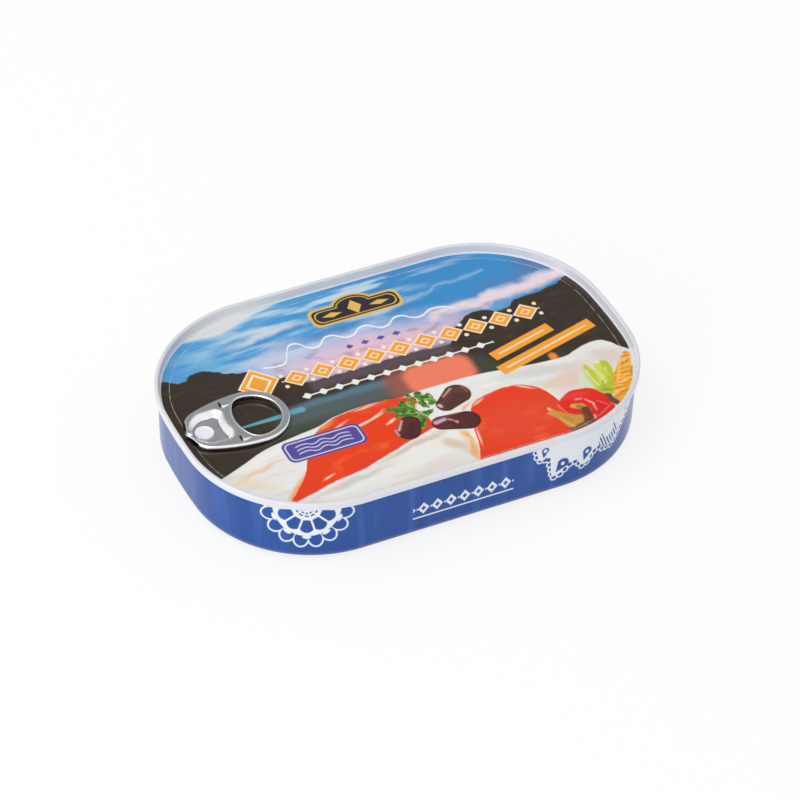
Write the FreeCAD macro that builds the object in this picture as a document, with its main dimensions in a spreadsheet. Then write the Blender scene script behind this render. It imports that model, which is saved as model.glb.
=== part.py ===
import FreeCAD, Part
import math
import os

import Sketcher
from FreeCAD import Vector

# A shallow oval fish tin with an easy-open lid: a drawn body filled to the lid,
# a recessed lid with a rolled seam, and a ring pull held by a rivet.
# Millimetres.  The origin is the middle of the base, +Z is up, the long side
# lies along X and the ring pull is at the -X end.

SIZES = (
    # the oval plan: two straight sides, flat end arcs, and corner arcs between
    ("tin_length", 150.0, "over the seam, end to end"),
    ("tin_width", 99.2, "over the seam, side to side"),
    ("tin_height", 24.0, "from the standing ring to the top of the seam"),
    ("end_radius", 200.0, "flat arc of each short end, at the seam"),
    ("corner_radius", 41.0, "arc between a side and an end, at the seam"),
    # the drawn body
    ("wall_inset", 1.0, "from the seam's face in to the wall under it"),
    ("wall_draft", 0.4, "how much further in the wall is at the base"),
    ("base_round", 4.0, "radius between the wall and the base"),
    ("standing_ring", 2.2, "flat width that the tin stands on"),
    ("base_recess", 0.8, "how far the base panel is set up"),
    ("base_step_bevel", 0.5, "bevel at the mouth of the base recess"),
    # the lid
    ("lid_sheet", 0.25, "thickness of the lid's sheet"),
    ("countersink_depth", 3.0, "from the top of the seam down to the panel"),
    ("seam_lift", 0.75, "from the panel's underside up to the seam"),
    ("seam_width", 1.3, "seam across its top"),
    ("chuck_slope", 0.35, "how far the inner wall leans in by its foot"),
    ("seam_top_round", 0.5, "radius of the seam's outer top edge"),
    ("seam_top_bevel", 0.35, "bevel of the seam's inner top edge"),
    ("seam_foot_bevel", 0.4, "bevel of the seam's lower edge"),
    ("chuck_foot_bevel", 0.5, "bevel where the inner wall meets the panel"),
    ("score_inset", 4.5, "from the seam's face in to the score line"),
    ("score_width", 0.35, "width of the score line"),
    ("score_depth", 0.1, "depth of the score line"),
    # the well that the ring pull lies in
    ("well_depth", 0.35, "below the panel"),
    ("well_margin", 0.7, "beside the ring pull"),
    ("well_short", 2.5, "how far the well stops short of that under the ring's end"),
    ("well_gap", 0.5, "from the score line to the well's straight side"),
    # the ring pull, measured from its rivet
    ("nose_lap", 1.1, "how far the nose reaches over the score line"),
    ("rivet_side", 0.6, "rivet off the middle line, towards the near side"),
    ("ring_reach", 15.6, "rivet to the centre of the round end"),
    ("ring_radius", 11.8, "outer radius of the round end"),
    ("shoulder_reach", 1.35, "rivet to the centres of the shoulder arcs"),
    ("shoulder_radius", 6.5, "outer radius of the shoulders"),
    ("nose_reach", 3.9, "rivet to the centre of the nose arc"),
    ("nose_radius", 2.3, "outer radius of the nose"),
    ("rim_wire", 1.6, "thickness of the curled rim"),
    ("rim_groove", 0.55, "from the curled rim in to the middle of the bead"),
    ("bead_width", 0.7, "width of the bead round the finger hole"),
    ("bead_high", 1.0, "height of that bead"),
    ("bead_bevel", 0.2, "bevel of its edges"),
    ("hole_corner", 4.6, "finger hole's corners, to the bead's middle"),
    ("hole_back", 15.0, "radius of the finger hole's flat side, to the bead's middle"),
    ("hole_gap", 1.95, "from the arched rib to that flat side"),
    ("rim_gap", 0.12, "from the panel up to the curled rim"),
    ("web_sheet", 0.45, "thickness of the web between rim and hole"),
    ("web_drop", 0.1, "web's underside below the middle of the rim"),
    ("rib_rise", 0.65, "arched rib above the web"),
    ("rib_width", 2.2, "arched rib round the window"),
    ("rib_lap", 0.06, "how far the rib runs in under the curled rim"),
    ("rib_bevel", 0.45, "bevel of the rib's two top edges"),
    ("window_radius", 5.4, "half round side of the window"),
    ("window_lead", 0.6, "from the nose's tip in to the rib's half round"),
    ("window_back", 5.8, "rivet to the straight side of the window"),
    ("window_corner", 1.2, "corners of the straight side"),
    ("tongue_slit", 0.35, "slit between the tongue and the rib"),
    ("tongue_sheet", 0.4, "thickness of the tongue"),
    ("fold_length", 7.0, "width of the fold that carries the tongue"),
    ("dimple_gap", 1.0, "from the arched rib to the slit of a dimple"),
    ("dimple_side", 8.6, "middle line to the middle of a dimple"),
    ("dimple_length", 3.2, "slit to the tip of a dimple"),
    ("dimple_width", 2.8, "length of the slit"),
    ("dimple_depth", 0.2, "depth of a dimple"),
    # the rivet
    ("rivet_head", 5.9, "diameter of the flattened head"),
    ("rivet_shank", 3.2, "diameter of the shank"),
    ("rivet_fit", 0.05, "room round the shank"),
    ("rivet_head_high", 0.5, "thickness of the head"),
    ("rivet_edge", 0.4, "level edge round the hollow in the head"),
    ("rivet_dish", 0.12, "depth of that hollow"),
)

RIGHT_ANGLE = math.pi / 2
WHOLE_TURN_DEGREES = 360.0
# Edges this near a height, or this near the oval at an inset, count as on it.
LEVEL = 0.001
ON_LINE = 0.02


class Length:
    """A length: its present value, and its formula in the sheet's cells."""

    def __init__(self, number, formula):
        self.number = number
        self.formula = formula

    def __add__(self, other):
        formula = "(%s + %s)" % (self.formula, other.formula)
        return Length(self.number + other.number, formula)

    def __sub__(self, other):
        formula = "(%s - %s)" % (self.formula, other.formula)
        return Length(self.number - other.number, formula)

    def __mul__(self, factor):
        return Length(self.number * factor, "(%s * %r)" % (self.formula, factor))

    def text(self):
        return self.formula + " * 1 mm"


NOTHING = Length(0.0, "0")


class Sizes:
    """Every size of the sheet as a Length, and the ones worked out from them."""

    def __init__(self, sheet):
        for name, _, _ in SIZES:
            setattr(self, name, Length(float(sheet.get(name)), "Sizes." + name))
        self.base_inset = self.wall_inset + self.wall_draft
        self.recess_inset = self.base_inset + self.base_round + self.standing_ring
        self.panel_top = self.tin_height - self.countersink_depth
        self.panel_under = self.panel_top - self.lid_sheet
        self.seam_foot = self.panel_under + self.seam_lift
        self.chuck_foot = self.seam_width + self.chuck_slope
        self.well_floor = self.panel_top - self.well_depth
        nose = self.nose_reach + self.nose_radius
        self.rivet_back = self.score_inset + nose - self.nose_lap
        self.rivet_x = self.rivet_back - self.tin_length * 0.5
        self.rivet_y = self.rivet_side * -1.0
        self.well_reach = self.ring_reach - self.well_short
        self.well_back = self.rivet_back - self.score_inset - self.score_width - self.well_gap
        rib_edge = self.window_radius + self.rib_width
        self.window_reach = rib_edge + self.window_lead - nose
        shoulder_half = rib_edge - self.rib_lap + self.rim_wire
        self.shoulder_side = shoulder_half - self.shoulder_radius
        self.hole_radius = self.ring_radius - self.rim_wire - self.rim_groove
        rib_back = self.window_back + self.rib_width
        self.hole_back_reach = rib_back + self.hole_gap + self.hole_back
        self.dimple_reach = rib_back + self.dimple_gap
        self.rim_middle = self.well_depth + self.rim_gap + self.rim_wire * 0.5
        self.web_under = self.rim_middle - self.web_drop
        self.web_top = self.web_under + self.web_sheet


def make_sheet(doc):
    """The spreadsheet of driving sizes, one named cell to a row."""
    sheet = doc.addObject("Spreadsheet::Sheet", "Sizes")
    for row, (name, value, note) in enumerate(SIZES, start=1):
        sheet.set("A%d" % row, name)
        sheet.set("B%d" % row, repr(value))
        sheet.set("C%d" % row, note)
        sheet.setAlias("B%d" % row, name)
    doc.recompute()
    return sheet


# ---------------------------------------------------------------- sketching

def new_body(doc, label):
    body = doc.addObject("PartDesign::Body", label)
    body.Label = label
    return body


def new_sketch(body, name, height=NOTHING, role="XY_Plane", across=None):
    """A sketch on one of the body's origin planes, lifted and moved by formulas."""
    sketch = body.newObject("Sketcher::SketchObject", name)
    plane = [item for item in body.Origin.OriginFeatures if item.Role == role][0]
    sketch.AttachmentSupport = [(plane, "")]
    sketch.MapMode = "FlatFace"
    sketch.setExpression("AttachmentOffset.Base.z", height.text())
    if across is not None:
        sketch.setExpression("AttachmentOffset.Base.x", across[0].text())
        sketch.setExpression("AttachmentOffset.Base.y", across[1].text())
    return sketch


def rule(sketch, kind, *what):
    return sketch.addConstraint(Sketcher.Constraint(kind, *what))


def bind(sketch, kind, what, length):
    """Add a constraint whose size is a formula of the sheet's cells."""
    index = rule(sketch, kind, *what, length.number)
    sketch.setExpression("Constraints[%d]" % index, length.text())


def place(sketch, curve, point, across, up):
    """Fix a point of a curve at two formulas from the sketch's origin."""
    for kind, axis, length in (("DistanceX", -2, across), ("DistanceY", -1, up)):
        if length is NOTHING:
            rule(sketch, "PointOnObject", curve, point, axis)
        elif length.number < 0:
            bind(sketch, kind, (curve, point, -1, 1), length * -1.0)
        else:
            bind(sketch, kind, (-1, 1, curve, point), length)


def arc(centre, radius, start, end):
    circle = Part.Circle(Vector(centre[0], centre[1], 0), Vector(0, 0, 1), radius)
    return Part.ArcOfCircle(circle, start, end)


def line(start, end):
    return Part.LineSegment(Vector(start[0], start[1], 0), Vector(end[0], end[1], 0))


def beside(centre, radius, angle):
    """The point at an angle on a circle."""
    return (centre[0] + radius * math.cos(angle), centre[1] + radius * math.sin(angle))


def add_loop(sketch, curves):
    """Draw curves end to start, each tangent to the next, as one closed loop."""
    first = sketch.GeometryCount
    sketch.addGeometry(curves, False)
    numbers = list(range(first, first + len(curves)))
    for here, there in zip(numbers, numbers[1:] + numbers[:1]):
        rule(sketch, "Tangent", here, 2, there, 1)
    return numbers


def add_polygon(sketch, corners):
    """Draw a closed run of straight lines through corners given as formulas."""
    first = sketch.GeometryCount
    spots = [(across.number, up.number) for across, up in corners]
    sketch.addGeometry([line(a, b) for a, b in zip(spots, spots[1:] + spots[:1])], False)
    count = len(corners)
    for step, (across, up) in enumerate(corners):
        rule(sketch, "Coincident", first + step, 2, first + (step + 1) % count, 1)
        place(sketch, first + step, 1, across, up)


# ------------------------------------------------------------- the oval plan

def oval_centres(size):
    """Where the plan's arcs are centred: end arc x, corner arc x and y."""
    end_x = size.tin_length.number / 2 - size.end_radius.number
    corner_y = size.tin_width.number / 2 - size.corner_radius.number
    apart = size.end_radius.number - size.corner_radius.number
    corner_x = end_x + math.sqrt(apart ** 2 - corner_y ** 2)
    return end_x, corner_x, corner_y


def add_oval(sketch, size, inset):
    """The tin's plan, moved in from the seam's face.

    Two straight sides, two flat end arcs and four corner arcs, all tangent.
    The arcs keep their centres whatever the inset.
    """
    end_x, corner_x, corner_y = oval_centres(size)
    end = size.end_radius - inset
    corner = size.corner_radius - inset
    half_wide = size.tin_width * 0.5 - inset
    back = size.end_radius - size.tin_length * 0.5
    side = half_wide.number
    lean = math.atan2(corner_y, corner_x - end_x)
    quarter = RIGHT_ANGLE
    loop = add_loop(sketch, [
        arc((end_x, 0), end.number, 0, lean),
        arc((corner_x, corner_y), corner.number, lean, quarter),
        line((corner_x, side), (-corner_x, side)),
        arc((-corner_x, corner_y), corner.number, quarter, 2 * quarter - lean),
        arc((-end_x, 0), end.number, 2 * quarter - lean, 2 * quarter + lean),
        arc((-corner_x, -corner_y), corner.number, 2 * quarter + lean, 3 * quarter),
        line((-corner_x, -side), (corner_x, -side)),
        arc((corner_x, -corner_y), corner.number, 3 * quarter, 4 * quarter - lean),
        arc((end_x, 0), end.number, 4 * quarter - lean, 4 * quarter),
    ])
    right, corner_one, far, corner_two, left, corner_three, near, corner_four, low = loop
    for other in (corner_two, corner_three, corner_four):
        rule(sketch, "Equal", corner_one, other)
    for other in (left, low):
        rule(sketch, "Equal", right, other)
    rule(sketch, "Horizontal", far)
    rule(sketch, "Horizontal", near)
    rule(sketch, "PointOnObject", right, 1, -1)
    bind(sketch, "Radius", (right,), end)
    bind(sketch, "Radius", (corner_one,), corner)
    place(sketch, right, 3, back * -1.0, NOTHING)
    place(sketch, left, 3, back, NOTHING)
    bind(sketch, "DistanceY", (-1, 1, far, 1), half_wide)
    bind(sketch, "DistanceY", (near, 1, -1, 1), half_wide)


def inset_of(size, point):
    """How far a point lies inside the seam's face, in plan."""
    end_x, corner_x, corner_y = oval_centres(size)
    across = abs(point.x)
    up = abs(point.y)
    if across <= corner_x:
        return size.tin_width.number / 2 - up
    if up / (across - end_x) < corner_y / (corner_x - end_x):
        return size.end_radius.number - math.hypot(across - end_x, up)
    return size.corner_radius.number - math.hypot(across - corner_x, up - corner_y)


# ------------------------------------------------------ the ring pull's plans

def side_arc_radius(ring, shoulder, shoulder_side, apart):
    """Radius of the arc that touches a ring at its widest and then a shoulder.

    The arc is centred straight across from the ring's centre.  The shoulder's
    centre lies apart from there along the pull, and shoulder_side to the side.
    """
    rise = ring - shoulder_side
    return (apart ** 2 + rise ** 2 - shoulder ** 2) / (2 * (rise - shoulder))


def long_side(ring, ring_x, shoulder, centre):
    """A side arc's radius, its centre's y, and the angle where it meets the
    shoulder, for the side of positive y."""
    radius = side_arc_radius(ring, shoulder, centre[1], ring_x - centre[0])
    side_y = ring - radius
    return radius, side_y, math.atan2(centre[1] - side_y, centre[0] - ring_x)


def hold_round_end(sketch, arcs, ring, reach, shoulder, centre):
    """Fix the two ring arcs, the two side arcs and the two shoulder arcs that
    both plans share.  Each pair has its arc of positive y first."""
    (ring_arc, ring_low), (side_arc, side_low), (shoulder_arc, shoulder_low) = arcs
    rule(sketch, "Equal", ring_arc, ring_low)
    rule(sketch, "Equal", shoulder_arc, shoulder_low)
    bind(sketch, "Radius", (ring_arc,), ring)
    bind(sketch, "Radius", (shoulder_arc,), shoulder)
    place(sketch, ring_arc, 3, reach, NOTHING)
    rule(sketch, "PointOnObject", ring_arc, 1, -1)
    rule(sketch, "Vertical", side_arc, 3, ring_arc, 3)
    rule(sketch, "Vertical", side_low, 3, ring_arc, 3)
    place(sketch, shoulder_arc, 3, centre[0], centre[1])
    place(sketch, shoulder_low, 3, centre[0], centre[1] * -1.0)


def add_tab_outline(sketch, size, grow):
    """The ring pull's plan about its rivet, grown outwards.

    A round end, two long side arcs, two shoulder arcs, and two short flanks
    that meet a small nose arc, all tangent.
    """
    ring = size.ring_radius + grow
    shoulder = size.shoulder_radius + grow
    nose = size.nose_radius + grow
    ring_x = size.ring_reach.number
    top = (size.shoulder_reach.number, size.shoulder_side.number)
    side, side_y, joint = long_side(ring.number, ring_x, shoulder.number, top)
    nose_x = -size.nose_reach.number
    step = math.hypot(nose_x - top[0], top[1])
    heading = math.atan2(-top[1], nose_x - top[0]) % (4 * RIGHT_ANGLE)
    narrowing = size.shoulder_radius.number - size.nose_radius.number
    flank = heading - math.acos(narrowing / step)
    whole = 4 * RIGHT_ANGLE
    foot = (top[0], -top[1])
    tip = (nose_x, 0)
    loop = add_loop(sketch, [
        arc((ring_x, 0), ring.number, 0, RIGHT_ANGLE),
        arc((ring_x, side_y), side, RIGHT_ANGLE, joint),
        arc(top, shoulder.number, joint, flank),
        line(beside(top, shoulder.number, flank), beside(tip, nose.number, flank)),
        arc(tip, nose.number, flank, whole - flank),
        line(beside(tip, nose.number, -flank), beside(foot, shoulder.number, -flank)),
        arc(foot, shoulder.number, whole - flank, whole - joint),
        arc((ring_x, -side_y), side, whole - joint, 3 * RIGHT_ANGLE),
        arc((ring_x, 0), ring.number, 3 * RIGHT_ANGLE, whole),
    ])
    arcs = ((loop[0], loop[8]), (loop[1], loop[7]), (loop[2], loop[6]))
    centre = (size.shoulder_reach, size.shoulder_side)
    hold_round_end(sketch, arcs, ring, size.ring_reach, shoulder, centre)
    bind(sketch, "Radius", (loop[4],), nose)
    place(sketch, loop[4], 3, size.nose_reach * -1.0, NOTHING)


def add_well_outline(sketch, size, grow):
    """The well's plan about the rivet, grown outwards.

    It follows the ring pull's round end, sides and shoulders with a margin, and
    ends in a straight side just clear of the score line.
    """
    margin = size.well_margin + grow
    ring = size.ring_radius + margin
    shoulder = size.shoulder_radius + margin
    centre = (shoulder - size.well_back - grow, size.shoulder_side)
    ring_x = size.well_reach.number
    top = (centre[0].number, centre[1].number)
    side, side_y, joint = long_side(ring.number, ring_x, shoulder.number, top)
    back = top[0] - shoulder.number
    whole = 4 * RIGHT_ANGLE
    foot = (top[0], -top[1])
    loop = add_loop(sketch, [
        arc((ring_x, 0), ring.number, 0, RIGHT_ANGLE),
        arc((ring_x, side_y), side, RIGHT_ANGLE, joint),
        arc(top, shoulder.number, joint, 2 * RIGHT_ANGLE),
        line((back, top[1]), (back, -top[1])),
        arc(foot, shoulder.number, 2 * RIGHT_ANGLE, whole - joint),
        arc((ring_x, -side_y), side, whole - joint, 3 * RIGHT_ANGLE),
        arc((ring_x, 0), ring.number, 3 * RIGHT_ANGLE, whole),
    ])
    arcs = ((loop[0], loop[6]), (loop[1], loop[5]), (loop[2], loop[4]))
    hold_round_end(sketch, arcs, ring, size.well_reach, shoulder, centre)


def add_hole_outline(sketch, size, grow):
    """The finger hole's plan, grown outwards from the middle of its bead.

    A large round side towards the ring's end, two corner arcs, and a flatter
    arc towards the rivet.
    """
    rounded = size.hole_radius + grow
    corner = size.hole_corner + grow
    flat = size.hole_back + grow
    ring_x = size.ring_reach.number
    back_x = size.hole_back_reach.number
    near = size.hole_radius.number - size.hole_corner.number
    far = size.hole_back.number - size.hole_corner.number
    apart = back_x - ring_x
    across = (near ** 2 - far ** 2 + apart ** 2) / (2 * apart)
    up = math.sqrt(near ** 2 - across ** 2)
    corner_x = ring_x + across
    whole = 4 * RIGHT_ANGLE
    start = math.atan2(up, across)
    finish = math.atan2(up, corner_x - back_x)
    loop = add_loop(sketch, [
        arc((ring_x, 0), rounded.number, 0, start),
        arc((corner_x, up), corner.number, start, finish),
        arc((back_x, 0), flat.number, finish, whole - finish),
        arc((corner_x, -up), corner.number, whole - finish, whole - start),
        arc((ring_x, 0), rounded.number, whole - start, whole),
    ])
    round_one, corner_one, flat_side, corner_two, round_two = loop
    rule(sketch, "Equal", round_one, round_two)
    rule(sketch, "Equal", corner_one, corner_two)
    bind(sketch, "Radius", (round_one,), rounded)
    bind(sketch, "Radius", (corner_one,), corner)
    bind(sketch, "Radius", (flat_side,), flat)
    place(sketch, round_one, 3, size.ring_reach, NOTHING)
    rule(sketch, "PointOnObject", round_one, 1, -1)
    place(sketch, flat_side, 3, size.hole_back_reach, NOTHING)


def add_window_outline(sketch, size, grow):
    """The window's plan, grown outwards: half round towards the nose, then
    square towards the ring with two rounded corners."""
    radius = size.window_radius + grow
    back = size.window_back + grow
    corner = size.window_corner + grow
    centre_x = size.window_reach.number
    half = radius.number
    bend = corner.number
    straight = back.number
    loop = add_loop(sketch, [
        arc((centre_x, 0), half, RIGHT_ANGLE, 3 * RIGHT_ANGLE),
        line((centre_x, -half), (straight - bend, -half)),
        arc((straight - bend, bend - half), bend, 3 * RIGHT_ANGLE, 4 * RIGHT_ANGLE),
        line((straight, bend - half), (straight, half - bend)),
        arc((straight - bend, half - bend), bend, 0, RIGHT_ANGLE),
        line((straight - bend, half), (centre_x, half)),
    ])
    rounded, low, corner_low, upright, corner_high, high = loop
    rule(sketch, "Equal", corner_low, corner_high)
    rule(sketch, "Horizontal", low)
    rule(sketch, "Horizontal", high)
    rule(sketch, "Vertical", upright)
    bind(sketch, "Radius", (rounded,), radius)
    bind(sketch, "Radius", (corner_low,), corner)
    place(sketch, rounded, 3, size.window_reach, NOTHING)
    bind(sketch, "DistanceX", (-1, 1, upright, 1), back)


# ---------------------------------------------------------- solid features

def recompute(feature):
    feature.Document.recompute()


def pad(body, sketch, name, length, down=False):
    feature = body.newObject("PartDesign::Pad", name)
    feature.Profile = sketch
    feature.setExpression("Length", length.text())
    feature.Reversed = down
    recompute(feature)
    return feature


def pocket(body, sketch, name, depth, up=False):
    """Cut a sketch's area into the body, and check that something was cut."""
    before = body.Shape.Volume
    feature = body.newObject("PartDesign::Pocket", name)
    feature.Profile = sketch
    feature.setExpression("Length", depth.text())
    feature.Reversed = up
    recompute(feature)
    if body.Shape.Volume > before - LEVEL:
        raise RuntimeError("the pocket %s cuts nothing" % name)
    return feature


def lean(feature, slope, length):
    """Make the sides of a pad or pocket lean out by a slope over its length."""
    formula = "atan(%s / %s)" % (slope.formula, length.formula)
    feature.setExpression("TaperAngle", formula)
    recompute(feature)


def dress(body, base, name, edges, amount, kind):
    """Round or bevel some edges of a feature."""
    if not edges:
        raise RuntimeError("no edges for %s" % name)
    feature = body.newObject("PartDesign::" + kind, name)
    feature.Base = (base, edges)
    feature.setExpression("Radius" if kind == "Fillet" else "Size", amount.text())
    recompute(feature)
    return feature


def fillet(body, base, name, edges, radius):
    return dress(body, base, name, edges, radius, "Fillet")


def bevel(body, base, name, edges, width):
    return dress(body, base, name, edges, width, "Chamfer")


def level_edges(shape, height):
    """Each edge that lies flat at a height, with its name and its middle."""
    for number, edge in enumerate(shape.Edges, start=1):
        middle = edge.valueAt((edge.FirstParameter + edge.LastParameter) / 2)
        box = edge.BoundBox
        if abs(box.ZMin - height) < LEVEL and abs(box.ZMax - height) < LEVEL:
            yield "Edge%d" % number, middle


def oval_edges(feature, size, height, inset):
    """Names of the edges at one height that follow the oval at one inset."""
    return [name for name, middle in level_edges(feature.Shape, height.number)
            if abs(inset_of(size, middle) - inset.number) < ON_LINE]


# ---------------------------------------------------------------- the pieces

def make_tin_body(doc, size):
    """The drawn body, filled to the lid: leaning wall, round base, set-up base
    panel inside a standing ring, and the seat of the lid's well on top."""
    body = new_body(doc, "tin_body")
    plan = new_sketch(body, "base_plan")
    add_oval(plan, size, size.base_inset)
    block = pad(body, plan, "wall", size.panel_under)
    lean(block, size.wall_draft, size.panel_under)
    edges = oval_edges(block, size, NOTHING, size.base_inset)
    fillet(body, block, "base_rounding", edges, size.base_round)

    recess = new_sketch(body, "base_recess_plan")
    add_oval(recess, size, size.recess_inset)
    step = pocket(body, recess, "base_panel", size.base_recess, up=True)
    edges = oval_edges(step, size, NOTHING, size.recess_inset)
    bevel(body, step, "base_step_bevel", edges, size.base_step_bevel)

    seat = new_sketch(body, "well_seat_plan", size.panel_under, across=(size.rivet_x, size.rivet_y))
    add_well_outline(seat, size, size.lid_sheet)
    pocket(body, seat, "well_seat", size.well_depth)
    return body


def make_lid(doc, size):
    """The lid: a rolled seam, an inner wall that leans in to the panel, a score
    line just inside it, and a well for the ring pull pressed into the panel."""
    body = new_body(doc, "lid")
    plan = new_sketch(body, "seam_plan", size.seam_foot)
    add_oval(plan, size, NOTHING)
    pad(body, plan, "seam", size.tin_height - size.seam_foot)

    foot = new_sketch(body, "foot_plan", size.seam_foot)
    add_oval(foot, size, size.wall_inset)
    pad(body, foot, "seam_tail", size.seam_lift, down=True)

    rivet = (size.rivet_x, size.rivet_y)
    under = new_sketch(body, "well_underside_plan", size.panel_under, across=rivet)
    add_well_outline(under, size, size.lid_sheet)
    pad(body, under, "well_underside", size.well_depth, down=True)

    mouth = new_sketch(body, "countersink_plan", size.tin_height)
    add_oval(mouth, size, size.seam_width)
    sink = pocket(body, mouth, "countersink", size.countersink_depth)
    lean(sink, size.chuck_slope * -1.0, size.countersink_depth)

    well = new_sketch(body, "well_plan", size.panel_top, across=rivet)
    add_well_outline(well, size, NOTHING)
    pocket(body, well, "well", size.well_depth)

    score = new_sketch(body, "score_plan", size.panel_top)
    add_oval(score, size, size.score_inset)
    add_oval(score, size, size.score_inset + size.score_width)
    last = pocket(body, score, "score", size.score_depth)

    outer = oval_edges(last, size, size.tin_height, NOTHING)
    last = fillet(body, last, "seam_top_rounding", outer, size.seam_top_round)
    rim = oval_edges(last, size, size.tin_height, size.seam_width)
    last = bevel(body, last, "seam_top_bevel", rim, size.seam_top_bevel)
    low = oval_edges(last, size, size.seam_foot, NOTHING)
    last = bevel(body, last, "seam_foot_bevel", low, size.seam_foot_bevel)
    inner = oval_edges(last, size, size.panel_top, size.chuck_foot)
    bevel(body, last, "chuck_foot_bevel", inner, size.chuck_foot_bevel)
    return body


def make_ring_pull(doc, size):
    """The ring pull: a web with a finger hole, a bead round the hole, an arched
    rib round a window, a tongue in the window that the rivet holds down, and a
    curled rim."""
    body = new_body(doc, "ring_pull")
    plan = new_sketch(body, "web_plan", size.web_under)
    add_tab_outline(plan, size, size.rim_wire * -0.5)
    add_hole_outline(plan, size, NOTHING)
    add_window_outline(plan, size, NOTHING)
    pad(body, plan, "web", size.web_sheet)
    add_bead(body, size)
    add_rib(body, size)
    add_tongue(body, size)
    add_dimples(body, size)
    add_rim(body, size)
    stand_at_rivet(body, size)
    return body


def add_bead(body, size):
    """A bead round the finger hole, bevelled above and below."""
    foot = size.web_under + size.web_sheet * 0.5 - size.bead_high * 0.5
    plan = new_sketch(body, "bead_plan", foot)
    add_hole_outline(plan, size, size.bead_width * 0.5)
    add_hole_outline(plan, size, size.bead_width * -0.5)
    bead = pad(body, plan, "bead", size.bead_high)
    top = foot + size.bead_high
    edges = [name for height in (foot, top)
             for name, _ in level_edges(bead.Shape, height.number)]
    bevel(body, bead, "bead_bevel", edges, size.bead_bevel)


def add_rib(body, size):
    """An arched rib round the window, bevelled along its top."""
    plan = new_sketch(body, "rib_plan", size.web_under)
    add_window_outline(plan, size, size.rib_width)
    add_window_outline(plan, size, NOTHING)
    rib = pad(body, plan, "rib", size.web_sheet + size.rib_rise)
    top = size.web_top + size.rib_rise
    edges = [name for name, _ in level_edges(rib.Shape, top.number)]
    bevel(body, rib, "rib_bevel", edges, size.rib_bevel)


def add_tongue(body, size):
    """The tongue that lies on the lid inside the window, the fold that joins it
    to the rib's straight side, and the hole that the rivet comes up through."""
    fold = new_sketch(body, "fold_plan")
    inner = size.window_back - size.tongue_slit - size.tongue_sheet
    outer = size.window_back + size.tongue_sheet
    half = size.fold_length * 0.5
    add_polygon(fold, [(inner, half * -1.0), (outer, half * -1.0), (outer, half), (inner, half)])
    pad(body, fold, "fold", size.web_top)

    tongue = new_sketch(body, "tongue_plan")
    add_window_outline(tongue, size, size.tongue_slit * -1.0)
    pad(body, tongue, "tongue", size.tongue_sheet)

    hole = new_sketch(body, "rivet_hole_plan", size.tongue_sheet)
    room = size.rivet_shank * 0.5 + size.rivet_fit
    number = hole.addGeometry(Part.Circle(Vector(), Vector(0, 0, 1), room.number), False)
    rule(hole, "Coincident", number, 3, -1, 1)
    bind(hole, "Radius", (number,), room)
    pocket(body, hole, "rivet_hole", size.tongue_sheet)


def add_rim(body, size):
    """The curled rim: a round section swept along the outline, standing across
    it where the outline crosses the X axis at the ring's end."""
    half = size.rim_wire * 0.5
    path = new_sketch(body, "rim_path", size.rim_middle)
    add_tab_outline(path, size, half * -1.0)
    section = new_sketch(body, "rim_section", role="XZ_Plane")
    start = size.ring_reach + size.ring_radius - half
    spot = Vector(start.number, size.rim_middle.number, 0)
    number = section.addGeometry(Part.Circle(spot, Vector(0, 0, 1), half.number), False)
    bind(section, "Radius", (number,), half)
    place(section, number, 3, start, size.rim_middle)
    feature = body.newObject("PartDesign::AdditivePipe", "rim")
    feature.Profile = section
    feature.Spine = (path, [])
    recompute(feature)


def add_dimples(body, size):
    """Two three-cornered dimples beside the hole, each behind its slit."""
    plan = new_sketch(body, "dimple_plan", size.web_top)
    low = size.dimple_side - size.dimple_width * 0.5
    high = size.dimple_side + size.dimple_width * 0.5
    tip = size.dimple_reach + size.dimple_length
    add_polygon(plan, [(size.dimple_reach, low), (tip, size.dimple_side), (size.dimple_reach, high)])
    one = pocket(body, plan, "dimple", size.dimple_depth)
    both = body.newObject("PartDesign::Mirrored", "dimples")
    both.Originals = [one]
    plane = [item for item in body.Origin.OriginFeatures if item.Role == "XZ_Plane"][0]
    both.MirrorPlane = (plane, [""])
    body.Tip = both
    recompute(both)


def make_rivet(doc, size):
    """The rivet: a shank through the tongue and a flattened, dished head."""
    body = new_body(doc, "rivet")
    section = new_sketch(body, "rivet_section", role="XZ_Plane")
    shank = size.rivet_shank * 0.5
    head = size.rivet_head * 0.5
    top = size.tongue_sheet + size.rivet_head_high
    add_polygon(section, [
        (NOTHING, NOTHING),
        (shank, NOTHING),
        (shank, size.tongue_sheet),
        (head, size.tongue_sheet),
        (head, top - size.rivet_dish),
        (head - size.rivet_dish, top),
        (head - size.rivet_edge, top),
        (head - size.rivet_edge - size.rivet_dish, top - size.rivet_dish),
        (NOTHING, top - size.rivet_dish),
    ])
    turned = body.newObject("PartDesign::Revolution", "turned")
    turned.Profile = section
    turned.ReferenceAxis = (section, ["V_Axis"])
    turned.Angle = WHOLE_TURN_DEGREES
    recompute(turned)
    stand_at_rivet(body, size)
    return body


def stand_at_rivet(body, size):
    """Move a piece that is drawn about the rivet to its place in the well."""
    body.setExpression("Placement.Base.x", size.rivet_x.text())
    body.setExpression("Placement.Base.y", size.rivet_y.text())
    body.setExpression("Placement.Base.z", size.well_floor.text())


def check(doc, pieces):
    """Stop if any object of the document, or any piece's shape, has failed."""
    for item in doc.Objects:
        for word in ("Invalid", "Error"):
            if word in item.State:
                raise RuntimeError("%s is marked %s" % (item.Name, word))
    for piece in pieces:
        shape = piece.Shape
        if shape.isNull() or not shape.isValid() or len(shape.Solids) != 1:
            raise RuntimeError("%s is not one valid solid" % piece.Label)


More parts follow.
